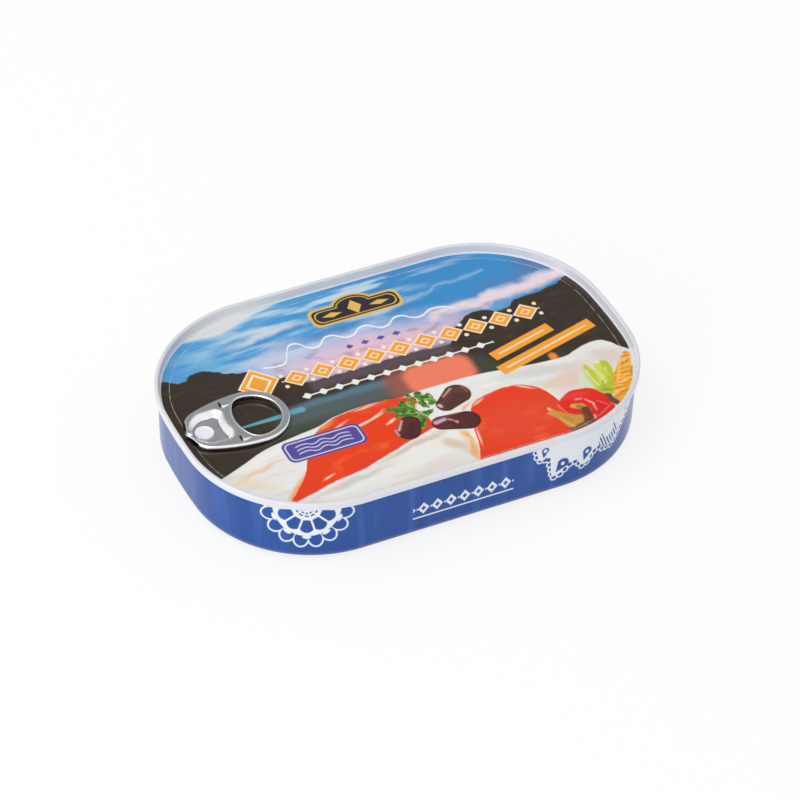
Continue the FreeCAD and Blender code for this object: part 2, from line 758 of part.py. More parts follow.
def main():
    doc = FreeCAD.newDocument("oval_fish_tin")
    size = Sizes(make_sheet(doc))
    pieces = [maker(doc, size) for maker in (make_tin_body, make_lid, make_ring_pull, make_rivet)]
    doc.recompute()
    check(doc, pieces)
    os.makedirs("parts", exist_ok=True)
    for piece in pieces:
        piece.Shape.exportStep("parts/%s.step" % piece.Label)
        box = piece.Shape.optimalBoundingBox(True, False)
        print("%-10s %9.1f mm3  x %7.2f %7.2f  y %7.2f %7.2f  z %6.2f %6.2f" % (
            piece.Label, piece.Shape.Volume,
            box.XMin, box.XMax, box.YMin, box.YMax, box.ZMin, box.ZMax))


main()
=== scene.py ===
"""An oval fish tin with an easy-open lid: the looks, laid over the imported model.

The drawn body carries a blue print with lace, the lid a picture under clear
lacquer inside a white seam, and the ring pull is stamped aluminium.
Shapes are worked out in metres about the model's own origin.
"""

import functools
import math

import bpy
import numpy as np
from mathutils import Matrix, Vector


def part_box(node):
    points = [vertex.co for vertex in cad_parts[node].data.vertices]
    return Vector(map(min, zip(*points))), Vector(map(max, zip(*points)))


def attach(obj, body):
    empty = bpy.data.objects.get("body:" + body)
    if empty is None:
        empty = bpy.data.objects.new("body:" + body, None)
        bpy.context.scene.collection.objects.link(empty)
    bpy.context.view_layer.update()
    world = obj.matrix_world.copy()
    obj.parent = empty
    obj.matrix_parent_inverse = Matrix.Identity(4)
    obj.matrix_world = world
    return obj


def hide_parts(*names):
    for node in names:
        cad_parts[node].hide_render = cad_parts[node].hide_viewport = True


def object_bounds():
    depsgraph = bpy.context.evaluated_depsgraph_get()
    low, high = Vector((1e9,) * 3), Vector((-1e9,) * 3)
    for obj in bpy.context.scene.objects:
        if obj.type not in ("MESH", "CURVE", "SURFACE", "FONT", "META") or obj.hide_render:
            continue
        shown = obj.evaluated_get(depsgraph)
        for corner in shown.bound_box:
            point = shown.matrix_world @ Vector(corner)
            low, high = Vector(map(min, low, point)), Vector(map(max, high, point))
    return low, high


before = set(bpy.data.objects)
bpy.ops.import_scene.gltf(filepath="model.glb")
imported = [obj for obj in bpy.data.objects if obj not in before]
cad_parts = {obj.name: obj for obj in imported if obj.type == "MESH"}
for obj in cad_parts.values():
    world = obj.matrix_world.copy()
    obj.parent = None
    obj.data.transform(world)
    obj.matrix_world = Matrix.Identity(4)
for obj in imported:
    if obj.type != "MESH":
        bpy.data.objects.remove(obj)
CAD_LOW, CAD_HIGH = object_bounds()

bl_info = {
    "name": "Oval fish tin",
    "version": (1, 0, 0),
    "blender": (4, 5, 0),
    "location": "View3D > Sidebar > Tin",
    "description": "Builds a printed oval fish tin with a ring pull",
    "category": "Object",
}

MM = 0.001
TAU = 2 * math.pi
# The least length that counts, in metres.
HAIR = 1e-6
ALONG, ACROSS, FLAT = (1.0, 0.0, 0.0), (0.0, 1.0, 0.0), (1.0, 1.0, 0.0)

TIN_LENGTH, TIN_WIDTH, TIN_HEIGHT = (CAD_HIGH - CAD_LOW)
# Way to the grey screen that shiny flats mirror.
SCREEN_PLACE = (0.336, 0.678, 0.654)
RIVET_LOW, RIVET_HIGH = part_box("rivet")
# From the rivet to the middle that the lid's rings run towards.
WELL_MIDDLE = np.array([12.0 * MM, 0])
# From the seam's face in to the flat face that closes the base.
BASE_MIDDLE = 40 * MM
# How far the body's skin runs down inside, under the lid.
TUCK = 1.2 * MM
RIVET_PLACE = np.array([
    (RIVET_LOW.x + RIVET_HIGH.x) / 2, (RIVET_LOW.y + RIVET_HIGH.y) / 2, RIVET_LOW.z])


# ------------------------------------------------------------------ settings

def linear(red, green, blue):
    """A colour given in display values of 0 to 255, as the linear values that
    shaders use."""
    shares = (value / 255 for value in (red, green, blue))
    return tuple(s / 12.92 if s <= 0.04045 else ((s + 0.055) / 1.055) ** 2.4 for s in shares)


def length(name, millimetres, description):
    return bpy.props.FloatProperty(
        name=name, description=description, default=millimetres * MM, min=0.0,
        unit="LENGTH", precision=5)


def tint(name, red, green, blue, description):
    return bpy.props.FloatVectorProperty(
        name=name, description=description, default=linear(red, green, blue),
        size=3, min=0.0, max=1.0, subtype="COLOR")


class TinSizes(bpy.types.PropertyGroup):
    """Sizes of the body and the lid."""

    end_radius: length("End radius", 200, "Flat arc of each short end, at the seam")
    corner_radius: length("Corner radius", 41, "Arc between a side and an end, at the seam")
    wall_inset: length("Wall inset", 1.0, "From the seam's face in to the wall")
    wall_draft: length("Wall draft", 0.4, "How much further in the wall is at the base")
    base_round: length("Base round", 4.0, "Radius between the wall and the base")
    standing_ring: length("Standing ring", 2.2, "Flat width that the tin stands on")
    base_recess: length("Base recess", 0.8, "How far the base panel is set up")
    lid_sheet: length("Lid sheet", 0.25, "Thickness of the lid's sheet")
    countersink: length("Countersink", 3.0, "From the top of the seam to the panel")
    seam_high: length("Seam height", 2.5, "Height of the rolled seam")
    seam_width: length("Seam width", 1.3, "Seam across its top")
    chuck_slope: length("Chuck slope", 0.35, "Lean of the lid's inner wall")
    score_inset: length("Score inset", 4.5, "From the seam's face in to the score line")
    score_width: length("Score width", 0.35, "Width of the score line")
    score_depth: length("Score depth", 0.1, "Depth of the score line")
    well_depth: length("Well depth", 0.35, "Depth of the well under the ring pull")
    well_margin: length("Well margin", 0.7, "Room beside the ring pull")
    well_short: length("Well end", 2.5, "How far the well stops short under the ring")
    well_back: length("Well back", 4.25, "Rivet to the well's straight side")


class PullSizes(bpy.types.PropertyGroup):
    """Sizes of the ring pull, measured from its rivet."""

    ring_reach: length("Ring reach", 15.6, "Rivet to the centre of the round end")
    ring_radius: length("Ring radius", 11.8, "Outer radius of the round end")
    shoulder_reach: length("Shoulder reach", 1.35, "Rivet to the shoulder arcs")
    shoulder_side: length("Shoulder side", 2.64, "Middle line to the shoulder arcs")
    shoulder_radius: length("Shoulder radius", 6.5, "Outer radius of the shoulders")
    nose_reach: length("Nose reach", 3.9, "Rivet to the centre of the nose")
    nose_radius: length("Nose radius", 2.3, "Outer radius of the nose")
    rim_wire: length("Rim", 1.6, "Thickness of the curled rim")
    rim_gap: length("Rim gap", 0.12, "From the panel up to the rim")
    hole_radius: length("Hole radius", 9.65, "Finger hole's round side")
    hole_corner: length("Hole corner", 4.6, "Finger hole's corners")
    hole_back: length("Hole back", 15.0, "Radius of the finger hole's flat side")
    hole_back_reach: length("Hole back reach", 24.95, "Rivet to that arc's centre")
    bead_width: length("Bead width", 0.8, "Curled edge of the finger hole")
    bead_high: length("Bead height", 1.0, "Height of that curled edge")
    web_sheet: length("Web sheet", 0.45, "Thickness of the web")
    web_drop: length("Web drop", 0.04, "Web's face below the crown of the rim")
    lip: length("Nose lip", 0.75, "Thickness of the folded edge round the nose")
    lip_inset: length("Lip inset", 0.45, "How far that edge stands back beside the nose")
    slope_width: length("Slope width", 2.7, "Slope from the web down to the tongue")
    window_radius: length("Window radius", 5.4, "Half round side of the window")
    window_reach: length("Window reach", 2.0, "Rivet to that half round's centre")
    window_back: length("Window back", 5.5, "Rivet to the window's bowed side")
    window_bow: length("Window bow", 0.6, "How far that side bows in")
    window_corner: length("Window corner", 1.2, "Corners of the straight side")
    tongue_sheet: length("Tongue sheet", 0.4, "Thickness of the tongue")
    lug_reach: length("Lug reach", 8.7, "Rivet to the slit of a lug")
    lug_side: length("Lug side", 8.3, "Middle line to the middle of a lug")
    lug_length: length("Lug length", 3.6, "Slit to the tip of a lug")
    lug_width: length("Lug width", 3.0, "Length of the slit")
    lug_rise: length("Lug rise", 0.75, "Height of a lug at its slit")


class PrintColours(bpy.types.PropertyGroup):
    """Main colours of the print and the metals."""

    wall_blue: tint("Wall blue", 26, 74, 150, "Ground of the body's print")
    lace_white: tint("Lace", 226, 230, 236, "Lace on the body")
    seam_white: tint("Seam", 219, 219, 224, "Lacquer of the seam and the inner wall")
    sky_left: tint("Sky, left", 78, 161, 213, "Sky over the ring pull")
    sky_right: tint("Sky, right", 56, 140, 200, "Sky at the far end")
    hill: tint("Hills", 54, 44, 33, "Dark land behind the food")
    fish: tint("Fish", 230, 230, 227, "Pale fillets")
    sauce: tint("Sauce", 233, 60, 10, "Sauce over the fillets")
    banner: tint("Banner", 244, 163, 52, "Plain banners and the title's ornament")
    pull: tint("Ring pull", 240, 241, 243, "Stamped aluminium")
    rivet: tint("Rivet", 238, 240, 246, "Flattened head")


class StageSettings(bpy.types.PropertyGroup):
    """The camera, the lamps and the backdrop."""

    azimuth: bpy.props.FloatProperty(
        name="Azimuth", description="Side that the camera looks from",
        default=math.radians(-26.35), subtype="ANGLE")
    elevation: bpy.props.FloatProperty(
        name="Elevation", description="Camera above the horizon",
        default=math.radians(40.84), subtype="ANGLE")
    roll: bpy.props.FloatProperty(
        name="Roll", description="Camera's lean about its own axis",
        default=math.radians(1.53), subtype="ANGLE")
    distance: length("Distance", 1108.4, "Camera to the middle of the tin")
    lens: bpy.props.FloatProperty(
        name="Lens", description="Focal length in millimetres", default=160.2, subtype="NONE")
    key_power: bpy.props.FloatProperty(
        name="Key lamp", description="Power of the large soft lamp overhead", default=5.0,
        unit="POWER")
    fill_power: bpy.props.FloatProperty(
        name="Fill lamp", description="Power of the low lamp in front", default=7.0,
        unit="POWER")
    sky_light: bpy.props.FloatProperty(
        name="Surround", description="Light from all round", default=0.74)
    screen_light: bpy.props.FloatProperty(
        name="Grey screen", description="Light of the grey screen that shiny flats mirror",
        default=0.3)


# ------------------------------------------------------------------ outlines

class Outline:
    """Points along a closed outline of tangent arcs and straights.

    upper lists the arcs of the half of positive y, each (centre x, centre y,
    radius, first direction, last direction), and the other half mirrors them.
    From one arc to the next all values change evenly, which gives a straight.
    The outline moved out by some amount is
    centre + (radius + amount) * (cos direction, sin direction).
    """

    def __init__(self, step, *upper):
        half = [(*place, way) for *place, first, last in upper for way in (first, last)]
        other = [(x, -y, radius, TAU - way) for x, y, radius, way in reversed(half)]
        stations = np.array(half + other)
        runs = []
        for here, there in zip(stations[:-1], stations[1:]):
            ends = [s[:2] + s[2] * np.array([np.cos(s[3]), np.sin(s[3])]) for s in (here, there)]
            if np.allclose(*ends, atol=HAIR):
                continue
            arc = abs(there[3] - here[3]) * min(here[2], there[2])
            count = math.ceil(max(arc, np.linalg.norm(ends[1] - ends[0])) / step - HAIR)
            runs.append(here + (there - here) * (np.arange(count) / count)[:, None])
        way = np.concatenate(runs)
        self.centre = way[:, :2]
        self.radius = way[:, 2]
        self.normal = np.stack([np.cos(way[:, 3]), np.sin(way[:, 3])], axis=1)

    def moved(self, amount):
        """The outline's points, moved out by an amount or by a row of them."""
        return self.centre + (self.radius + amount)[..., None] * self.normal

    def carry(self, outward, height):
        """A profile carried along the outline: row i is the outline moved out
        by outward[i], at height[i]."""
        flat = self.moved(np.reshape(outward, (len(outward), -1)))
        high = np.broadcast_to(np.reshape(height, (len(flat), -1, 1)), flat.shape[:2] + (1,))
        return np.concatenate([flat, high], axis=2)


def towards(outline, middle, aims):
    """Where the rays from a middle towards each aim cross a convex outline: the
    outline's distance as a function of direction, read at the aims."""
    away = outline - middle
    turn = np.arctan2(away[:, 1], away[:, 0])
    order = np.argsort(turn)
    want = np.arctan2(aims[:, 1] - middle[1], aims[:, 0] - middle[0])
    reach = np.interp(want, turn[order], np.linalg.norm(away, axis=1)[order], period=TAU)
    return middle + reach[:, None] * np.stack([np.cos(want), np.sin(want)], axis=1)


def tin_outline(size, step):
    """The tin's plan at the seam's face: two straight sides, two flat end arcs
    and four corner arcs."""
    end, corner = size.end_radius, size.corner_radius
    end_x = TIN_LENGTH / 2 - end
    corner_y = TIN_WIDTH / 2 - corner
    corner_x = end_x + math.sqrt((end - corner) ** 2 - corner_y ** 2)
    lean = math.atan2(corner_y, corner_x - end_x)
    return Outline(
        step, (end_x, 0, end, 0, lean), (corner_x, corner_y, corner, lean, TAU / 4),
        (-corner_x, corner_y, corner, TAU / 4, TAU / 2 - lean),
        (-end_x, 0, end, TAU / 2 - lean, TAU / 2))


def long_side(ring, ring_x, shoulder, place):
    """A side arc that touches the round end at its widest and then a shoulder:
    its radius, its centre's y and the direction where it meets the shoulder."""
    rise = ring - place[1]
    apart = ring_x - place[0]
    radius = (apart ** 2 + rise ** 2 - shoulder ** 2) / (2 * (rise - shoulder))
    side_y = ring - radius
    return radius, side_y, math.atan2(place[1] - side_y, place[0] - ring_x)


def pull_outline(pull, step):
    """The ring pull's plan about its rivet: round end, long sides, shoulders,
    and flanks that meet a small nose."""
    ring, ring_x = pull.ring_radius, pull.ring_reach
    shoulder, nose = pull.shoulder_radius, pull.nose_radius
    place = (pull.shoulder_reach, pull.shoulder_side)
    side, side_y, joint = long_side(ring, ring_x, shoulder, place)
    away = (-pull.nose_reach - place[0], -place[1])
    flank = math.atan2(away[1], away[0]) % TAU - math.acos((shoulder - nose) / math.hypot(*away))
    return Outline(
        step, (ring_x, 0, ring, 0, TAU / 4), (ring_x, side_y, side, TAU / 4, joint),
        (*place, shoulder, joint, flank), (-pull.nose_reach, 0, nose, flank, TAU / 2))


def well_outline(size, pull, step):
    """The well's plan about the rivet: it follows the ring pull with a margin
    and ends straight behind the score line."""
    ring = pull.ring_radius + size.well_margin
    ring_x = pull.ring_reach - size.well_short
    shoulder = pull.shoulder_radius + size.well_margin
    place = (shoulder - size.well_back, pull.shoulder_side)
    side, side_y, joint = long_side(ring, ring_x, shoulder, place)
    return Outline(
        step, (ring_x, 0, ring, 0, TAU / 4), (ring_x, side_y, side, TAU / 4, joint),
        (*place, shoulder, joint, TAU / 2), (place[0], 0, shoulder, TAU / 2, TAU / 2))


def hole_outline(pull, step):
    """The finger hole's plan, at the middle of its curled edge."""
    ring_x, back_x, corner = pull.ring_reach, pull.hole_back_reach, pull.hole_corner
    near = pull.hole_radius - corner
    far = pull.hole_back - corner
    apart = back_x - ring_x
    across = (near ** 2 - far ** 2 + apart ** 2) / (2 * apart)
    up = math.sqrt(near ** 2 - across ** 2)
    start = math.atan2(up, across)
    finish = math.atan2(up, across - apart)
    return Outline(
        step, (ring_x, 0, pull.hole_radius, 0, start),
        (ring_x + across, up, corner, start, finish),
        (back_x, 0, pull.hole_back, finish, TAU / 2))


def window_outline(pull, step):
    """The window's plan: half round towards the nose, bowed in towards the
    ring, with two rounded corners."""
    corner, bow = pull.window_corner, pull.window_bow
    bend_y = pull.window_radius - corner
    hollow = (bend_y ** 2 + bow ** 2) / (2 * bow)
    lean = math.asin(bend_y / (hollow + corner))
    middle_x = pull.window_back + hollow
    bend_x = middle_x - (hollow + corner) * math.cos(lean)
    return Outline(
        step, (middle_x, 0, -hollow, 0, -lean), (bend_x, bend_y, corner, -lean, TAU / 4),
        (pull.window_reach, 0, pull.window_radius, TAU / 4, TAU / 2))


def rounded(corners, steps=7):
    """A run of profile points through corners of (outward, height, round).

    Each corner with a round is replaced by the arc tangent to its two sides,
    with one more point just beyond each end of the arc to keep flats flat.
    """
    support = 0.05 * MM
    spots = np.array([corner[:2] for corner in corners], float)
    run = [spots[:1]]
    for before, here, after, corner in zip(spots, spots[1:], spots[2:], corners[1:-1]):
        radius = corner[2]
        if not radius:
            run.append(here[None])
            continue
        back = (before - here) / np.linalg.norm(before - here)
        on = (after - here) / np.linalg.norm(after - here)
        half = math.acos(float(np.clip(back @ on, -1, 1))) / 2
        cut = radius / math.tan(half)
        middle = here + (back + on) / np.linalg.norm(back + on) * radius / math.sin(half)
        start = here + back * cut - middle
        end = here + on * cut - middle
        first = math.atan2(start[1], start[0])
        turn = (math.atan2(end[1], end[0]) - first + TAU / 2) % TAU - TAU / 2
        angle = first + turn * np.linspace(0, 1, steps)
        arc = middle + radius * np.stack([np.cos(angle), np.sin(angle)], axis=1)
        run += [(here + back * (cut + support))[None], arc, (here + on * (cut + support))[None]]
    run.append(spots[-1:])
    path = np.concatenate(run)
    return path[:, 0], path[:, 1]


# -------------------------------------------------------------------- meshes

class Skin:
    """Gathers grids of points into one mesh."""

    def __init__(self):
        self.points = []
        self.faces = []
        self.printed = False

    def grid(self, rows, slot=0, wrap=False, caps=(), places=None):
        """Add a grid of points that closes on itself along each row.

        rows is (V, N, 3).  wrap joins the last row to the first.  slot is the
        material of the whole grid or of each of its bands, and caps those of
        the flat faces that close the first and the last row.  places,
        (V, N + 1, 2), tells where the points lie on the print.
        """
        high, wide = rows.shape[:2]
        start = sum(len(points) for points in self.points)
        self.points.append(rows.reshape(-1, 3))
        v, u = np.meshgrid(np.arange(high if wrap else high - 1), np.arange(wide), indexing="ij")
        up, on = (v + 1) % high, (u + 1) % wide
        faces = np.stack([v * wide + u, v * wide + on, up * wide + on, up * wide + u], axis=-1)
        spots = np.zeros(faces.shape + (2,))
        if places is not None:
            self.printed = True
            spots = np.stack([
                places[:-1, :-1], places[:-1, 1:], places[1:, 1:], places[1:, :-1]], axis=2)
        slots = np.broadcast_to(np.reshape(slot, (-1, 1)), v.shape)
        self.faces.append((start + faces.reshape(-1, 4), slots.ravel(), spots.reshape(-1, 2)))
        ends = np.arange(wide)[::-1], (high - 1) * wide + np.arange(wide)
        for end, cap in zip(ends, caps):
            self.faces.append((start + end[None], [cap], np.zeros((wide, 2))))

    def build(self, name, materials, crease=40):
        """Make the object, smooth shaded apart from edges sharper than crease
        degrees."""
        points = np.concatenate(self.points)
        corners = np.concatenate([faces.ravel() for faces, _, _ in self.faces])
        sizes = np.concatenate([np.full(len(faces), faces.shape[1]) for faces, _, _ in self.faces])
        slots = np.concatenate([slots for _, slots, _ in self.faces])
        mesh = bpy.data.meshes.new(name)
        mesh.vertices.add(len(points))
        mesh.vertices.foreach_set("co", points.astype(np.float32).ravel())
        mesh.loops.add(len(corners))
        mesh.loops.foreach_set("vertex_index", corners.astype(np.int32))
        mesh.polygons.add(len(sizes))
        mesh.polygons.foreach_set("loop_start", (np.cumsum(sizes) - sizes).astype(np.int32))
        mesh.polygons.foreach_set("material_index", slots.astype(np.int32))
        if self.printed:
            spots = np.concatenate([spots for _, _, spots in self.faces])
            layer = mesh.uv_layers.new(name="print")
            layer.data.foreach_set("uv", spots.astype(np.float32).ravel())
        mesh.update(calc_edges=True)
        if mesh.validate():
            raise RuntimeError("the mesh of %s has faces that had to be removed" % name)
        mesh.polygons.foreach_set("use_smooth", np.ones(len(sizes), bool))
        mesh.set_sharp_from_angle(angle=math.radians(crease))
        for material in materials:
            mesh.materials.append(material)
        piece = bpy.data.objects.new(name, mesh)
        bpy.context.scene.collection.objects.link(piece)
        return piece


# ------------------------------------------------------------ masks as groups

def put(tree, socket, value):
    """Link a socket to an input, or set the input to a plain value."""
    if isinstance(value, bpy.types.NodeSocket):
        tree.links.new(value, socket)
    elif isinstance(value, (tuple, list)) and len(value) < len(socket.default_value):
        socket.default_value = (*value, *[0.0, 1.0][-(len(socket.default_value) - len(value)):])
    else:
        socket.default_value = value


def make(tree, kind, *values, **settings):
    """Add a node, give its settings and first inputs, and return its first
    enabled output."""
    node = tree.nodes.new("ShaderNode" + kind)
    for name, value in settings.items():
        setattr(node, name, value)
    for place, value in enumerate(values):
        if value is not None:
            put(tree, node.inputs[place], value)
    return next(socket for socket in node.outputs if socket.enabled)


def total(tree, operation, *values):
    return make(tree, "Math", *values, operation=operation)


def vector(tree, operation, *values):
    return make(tree, "VectorMath", *values, operation=operation)


def dot(tree, first, second):
    return vector(tree, "DOT_PRODUCT", first, second)


def fade(tree, value, gone, full):
    """0 where the value is at gone, 1 where it is at full, smooth between."""
    return make(
        tree, "MapRange", value, gone, full, interpolation_type="SMOOTHSTEP", clamp=False)


def tool(name, inputs, outputs, build):
    """The node group of a name, made the first time it is asked for."""
    if name in bpy.data.node_groups:
        return bpy.data.node_groups[name]
    tree = bpy.data.node_groups.new(name, "ShaderNodeTree")
    for way, sockets in (("INPUT", inputs), ("OUTPUT", outputs)):
        for label, kind in sockets:
            tree.interface.new_socket(label, in_out=way, socket_type="NodeSocket" + kind)
    start = tree.nodes.new("NodeGroupInput")
    end = tree.nodes.new("NodeGroupOutput")
    for value, socket in zip(build(tree, *start.outputs[:-1]), end.inputs):
        tree.links.new(value, socket)
    return tree


def call(tree, group, *values):
    """Place a node group, give its inputs and return its outputs."""
    node = tree.nodes.new("ShaderNodeGroup")
    node.node_tree = group
    for socket, value in zip(node.inputs, values):
        put(tree, socket, value)
    return node.outputs


def mask(kind):
    """The node group of a shape: from places and the shape's own inputs to a
    mask that fades over Edge on each side of the border."""
    build, inputs = SHAPES[kind]

    def bordered(inner, *values):
        away = build(inner, *values[:-1])
        back = total(inner, "MULTIPLY", values[-1], -1.0)
        return [fade(inner, away, values[-1], back)]

    return tool(kind, [("Place", "Vector"), *inputs, ("Edge", "Float")], [("Mask", "Float")],
                bordered)


def about(tree, place, centre, way):
    """Places seen from a shape's own middle, along and across its way."""
    moved = vector(tree, "SUBTRACT", place, centre)
    across = vector(tree, "CROSS_PRODUCT", (0.0, 0.0, 1.0), way)
    return make(tree, "CombineXYZ", dot(tree, moved, way), dot(tree, moved, across))


def smaller(tree, half):
    """The smaller of two half sizes."""
    return total(tree, "MINIMUM", dot(tree, half, ALONG), dot(tree, half, ACROSS))


def oval(tree, place, centre, half, way):
    """Distance outside an oval, taken as (|p / half| - 1) * the smaller half."""
    own = about(tree, place, centre, way)
    reach = vector(tree, "LENGTH", vector(tree, "DIVIDE", own, half))
    return total(tree, "MULTIPLY", total(tree, "SUBTRACT", reach, 1.0), smaller(tree, half))


def plate(tree, place, centre, half, way, rounding):
    """Distance outside a plate with rounded corners: the length of
    max(|p| - half + round, 0) less the round, plus what is inside."""
    own = vector(tree, "ABSOLUTE", about(tree, place, centre, way))
    corner = make(tree, "CombineXYZ", rounding, rounding, 0.0)
    over = vector(tree, "ADD", vector(tree, "SUBTRACT", own, half), corner)
    outside = vector(tree, "LENGTH", vector(tree, "MAXIMUM", over, (0.0, 0.0, 0.0)))
    most = total(
        tree, "MAXIMUM", dot(tree, over, ALONG), dot(tree, over, ACROSS))
    inside = total(tree, "MINIMUM", most, 0.0)
    return total(tree, "SUBTRACT", total(tree, "ADD", outside, inside), rounding)


def lozenge(tree, place, centre, half, way):
    """Distance outside a lozenge, taken as (|x| / a + |y| / b - 1) * the
    smaller half."""
    own = vector(tree, "ABSOLUTE", about(tree, place, centre, way))
    reach = dot(tree, vector(tree, "DIVIDE", own, half), FLAT)
    return total(tree, "MULTIPLY", total(tree, "SUBTRACT", reach, 1.0), smaller(tree, half))


def stroke(tree, place, start, end, first_width, last_width):
    """Distance outside a straight stroke whose width changes from start to
    end: |p - start - t * way| less half the width at t, with t the place
    along the way, held to 0 to 1."""
    way = vector(tree, "SUBTRACT", end, start)
    from_start = vector(tree, "MULTIPLY", vector(tree, "SUBTRACT", place, start), FLAT)
    along = dot(tree, from_start, way)
    along = total(tree, "DIVIDE", along, dot(tree, way, way))
    t = make(tree, "Clamp", along, 0.0, 1.0)
    reached = vector(tree, "SCALE", way, None, None, t)
    away = vector(tree, "LENGTH", vector(tree, "SUBTRACT", from_start, reached))
    width = make(tree, "MapRange", t, 0.0, 1.0, first_width, last_width, clamp=False)
    return total(tree, "MULTIPLY_ADD", width, -0.5, away)


SHAPES = {
    "oval": (oval, (("Centre", "Vector"), ("Half sizes", "Vector"), ("Way", "Vector"))),
    "lozenge": (lozenge, (("Centre", "Vector"), ("Half sizes", "Vector"), ("Way", "Vector"))),
    "plate": (plate, (
        ("Centre", "Vector"), ("Half sizes", "Vector"), ("Way", "Vector"), ("Round", "Float"))),
    "stroke": (stroke, (
        ("Start", "Vector"), ("End", "Vector"), ("First width", "Float"),
        ("Last width", "Float"))),
}


class Ink:
    """Lays colours over one another in a material.  Places are in
    millimetres, turns in degrees, and colours in display values."""

    def __init__(self, name, place_of, *sizes):
        self.material = bpy.data.materials.new(name)
        self.material.use_nodes = True
        self.tree = self.material.node_tree
        self.shader = self.tree.nodes["Principled BSDF"]
        self.source, self.unit, self.place = place_of(self.tree, *sizes)
        self.x = dot(self.tree, self.place, ALONG)
        self.y = dot(self.tree, self.place, ACROSS)
        self.colour = None

    def math(self, operation, *values):
        return total(self.tree, operation, *values)

    def fade(self, value, gone, full):
        return fade(self.tree, value, gone, full)

    def grained(self, scale, turn, start, detail):
        """A noise node over the source's places in grains of 1."""
        scale = [self.unit[axis] * scale[axis] for axis in range(3)]
        place = make(self.tree, "Mapping", self.source, start, (0, 0, turn), scale)
        return make(self.tree, "TexNoise", place, None, 1.0, detail).node.outputs

    def noise(self, grain, turn=0, detail=3, seed=0.0):
        """Cloudy values about 0.5, with the grain's size across and along."""
        scale = (1 / grain[0], 1 / grain[1], 1)
        start = (seed * 7.3, seed * 3.1, seed)
        return self.grained(scale, math.radians(turn), start, detail)[0]

    def wavering(self, grain, reach, seed=0.0):
        """Places pushed about by up to about reach."""
        start = (seed * 11.0 / grain, seed * 5.0 / grain, seed / grain)
        cloud = self.grained([1 / grain] * 3, 0, start, 2)[1]
        push = vector(self.tree, "SUBTRACT", cloud, (0.5, 0.5, 0.5))
        scaled = vector(self.tree, "MULTIPLY", push, (reach * 3, reach * 3, 0.0))
        return vector(self.tree, "ADD", self.place, scaled)

    def shape(self, kind, *values, edge=0.2, on=None):
        """A mask from one of the shape groups."""
        return call(self.tree, mask(kind), on or self.place, *values, edge)[0]

    def turned(self, kind, x, y, wide, high, turn, *rest, **more):
        way = (math.cos(math.radians(turn)), math.sin(math.radians(turn)), 0.0)
        return self.shape(kind, (x, y, 0), (wide, high, 1), way, *rest, **more)

    def oval(self, x, y, wide, high, turn=0, **more):
        return self.turned("oval", x, y, wide, high, turn, **more)

    def lozenge(self, x, y, wide, high, turn=0, **more):
        return self.turned("lozenge", x, y, wide, high, turn, **more)

    def plate(self, x, y, wide, high, turn=0, rounding=0.5, **more):
        return self.turned("plate", x, y, wide, high, turn, rounding, **more)

    def stroke(self, x, y, end_x, end_y, first=0.5, last=None, **more):
        last = first if last is None else last
        return self.shape("stroke", (x, y, 0), (end_x, end_y, 0), first, last, **more)

    def curve(self, points, along=None):
        """A smooth curve through points of (x, y), read at each place's x."""
        points = np.array(points, float)
        low, high = points.min(axis=0), points.max(axis=0)
        span = np.maximum(high - low, 1e-3)
        spots = (points - low) / span
        t = make(self.tree, "MapRange", along or self.x, low[0], high[0], clamp=False)
        node = self.tree.nodes.new("ShaderNodeFloatCurve")
        node.mapping.extend = "HORIZONTAL"
        line = node.mapping.curves[0]
        for _ in range(len(spots) - 2):
            line.points.new(0.5, 0.5)
        for point, spot in zip(line.points, spots):
            point.location = spot
            point.handle_type = "AUTO_CLAMPED"
        node.mapping.update()
        put(self.tree, node.inputs["Value"], t)
        return self.math("MULTIPLY_ADD", node.outputs[0], span[1], low[1])

    def under(self, points, edge=0.25, push=None):
        """A mask of all below a curve, which push moves up or down."""
        level = self.curve(points)
        if push is not None:
            level = self.math("ADD", level, push)
        return self.fade(self.math("SUBTRACT", self.y, level), edge, -edge)

    def span(self, low, high, edge):
        """A mask of all x between two limits."""
        return self.both(
            self.fade(self.x, low - edge, low + edge), self.fade(self.x, high + edge, high - edge))

    def between(self, top, bottom, edge=0.25, push=None):
        """A mask of all between two curves and between their ends."""
        sides = self.span(min(top[0][0], bottom[0][0]), max(top[-1][0], bottom[-1][0]), edge)
        low = self.math("SUBTRACT", 1.0, self.under(bottom, edge, push))
        return self.both(sides, self.under(top, edge, push), low)

    def line(self, points, width, edge=0.2):
        """A mask of a thin line along a curve, between its ends."""
        away = self.math("ABSOLUTE", self.math("SUBTRACT", self.y, self.curve(points)))
        near = self.fade(away, width / 2 + edge, width / 2 - edge)
        return self.both(self.span(points[0][0], points[-1][0], edge), near)

    def joined(self, operation, values):
        return functools.reduce(lambda one, other: self.math(operation, one, other), values)

    def both(self, *masks):
        """Where all of the masks are."""
        return self.joined("MULTIPLY", masks)

    def any(self, *masks):
        """Where any of the masks is."""
        return self.joined("MAXIMUM", masks)

    def without(self, mask, cut):
        """Where the mask is and the cut is not."""
        return self.math("MULTIPLY", mask, self.math("SUBTRACT", 1.0, cut))

    def lay(self, colour, mask=None, share=1.0):
        """Lay a colour over what is there, where the mask is."""
        colour = (*(linear(*colour) if max(colour) > 1 else colour), 1.0)
        if mask is None:
            self.colour = colour
            return
        if share != 1:
            mask = self.math("MULTIPLY", mask, share)
        blank = [None] * 5  # inputs of the other kinds of mix come first
        self.colour = make(self.tree, "Mix", mask, *blank, self.colour, colour, data_type="RGBA")

    def marks(self, rows, on=None):
        """Lay a shape for each row of its kind, colour, share, edge and
        numbers."""
        for kind, colour, share, edge, *numbers in rows:
            self.lay(colour, getattr(self, kind)(*numbers, edge=edge, on=on), share)

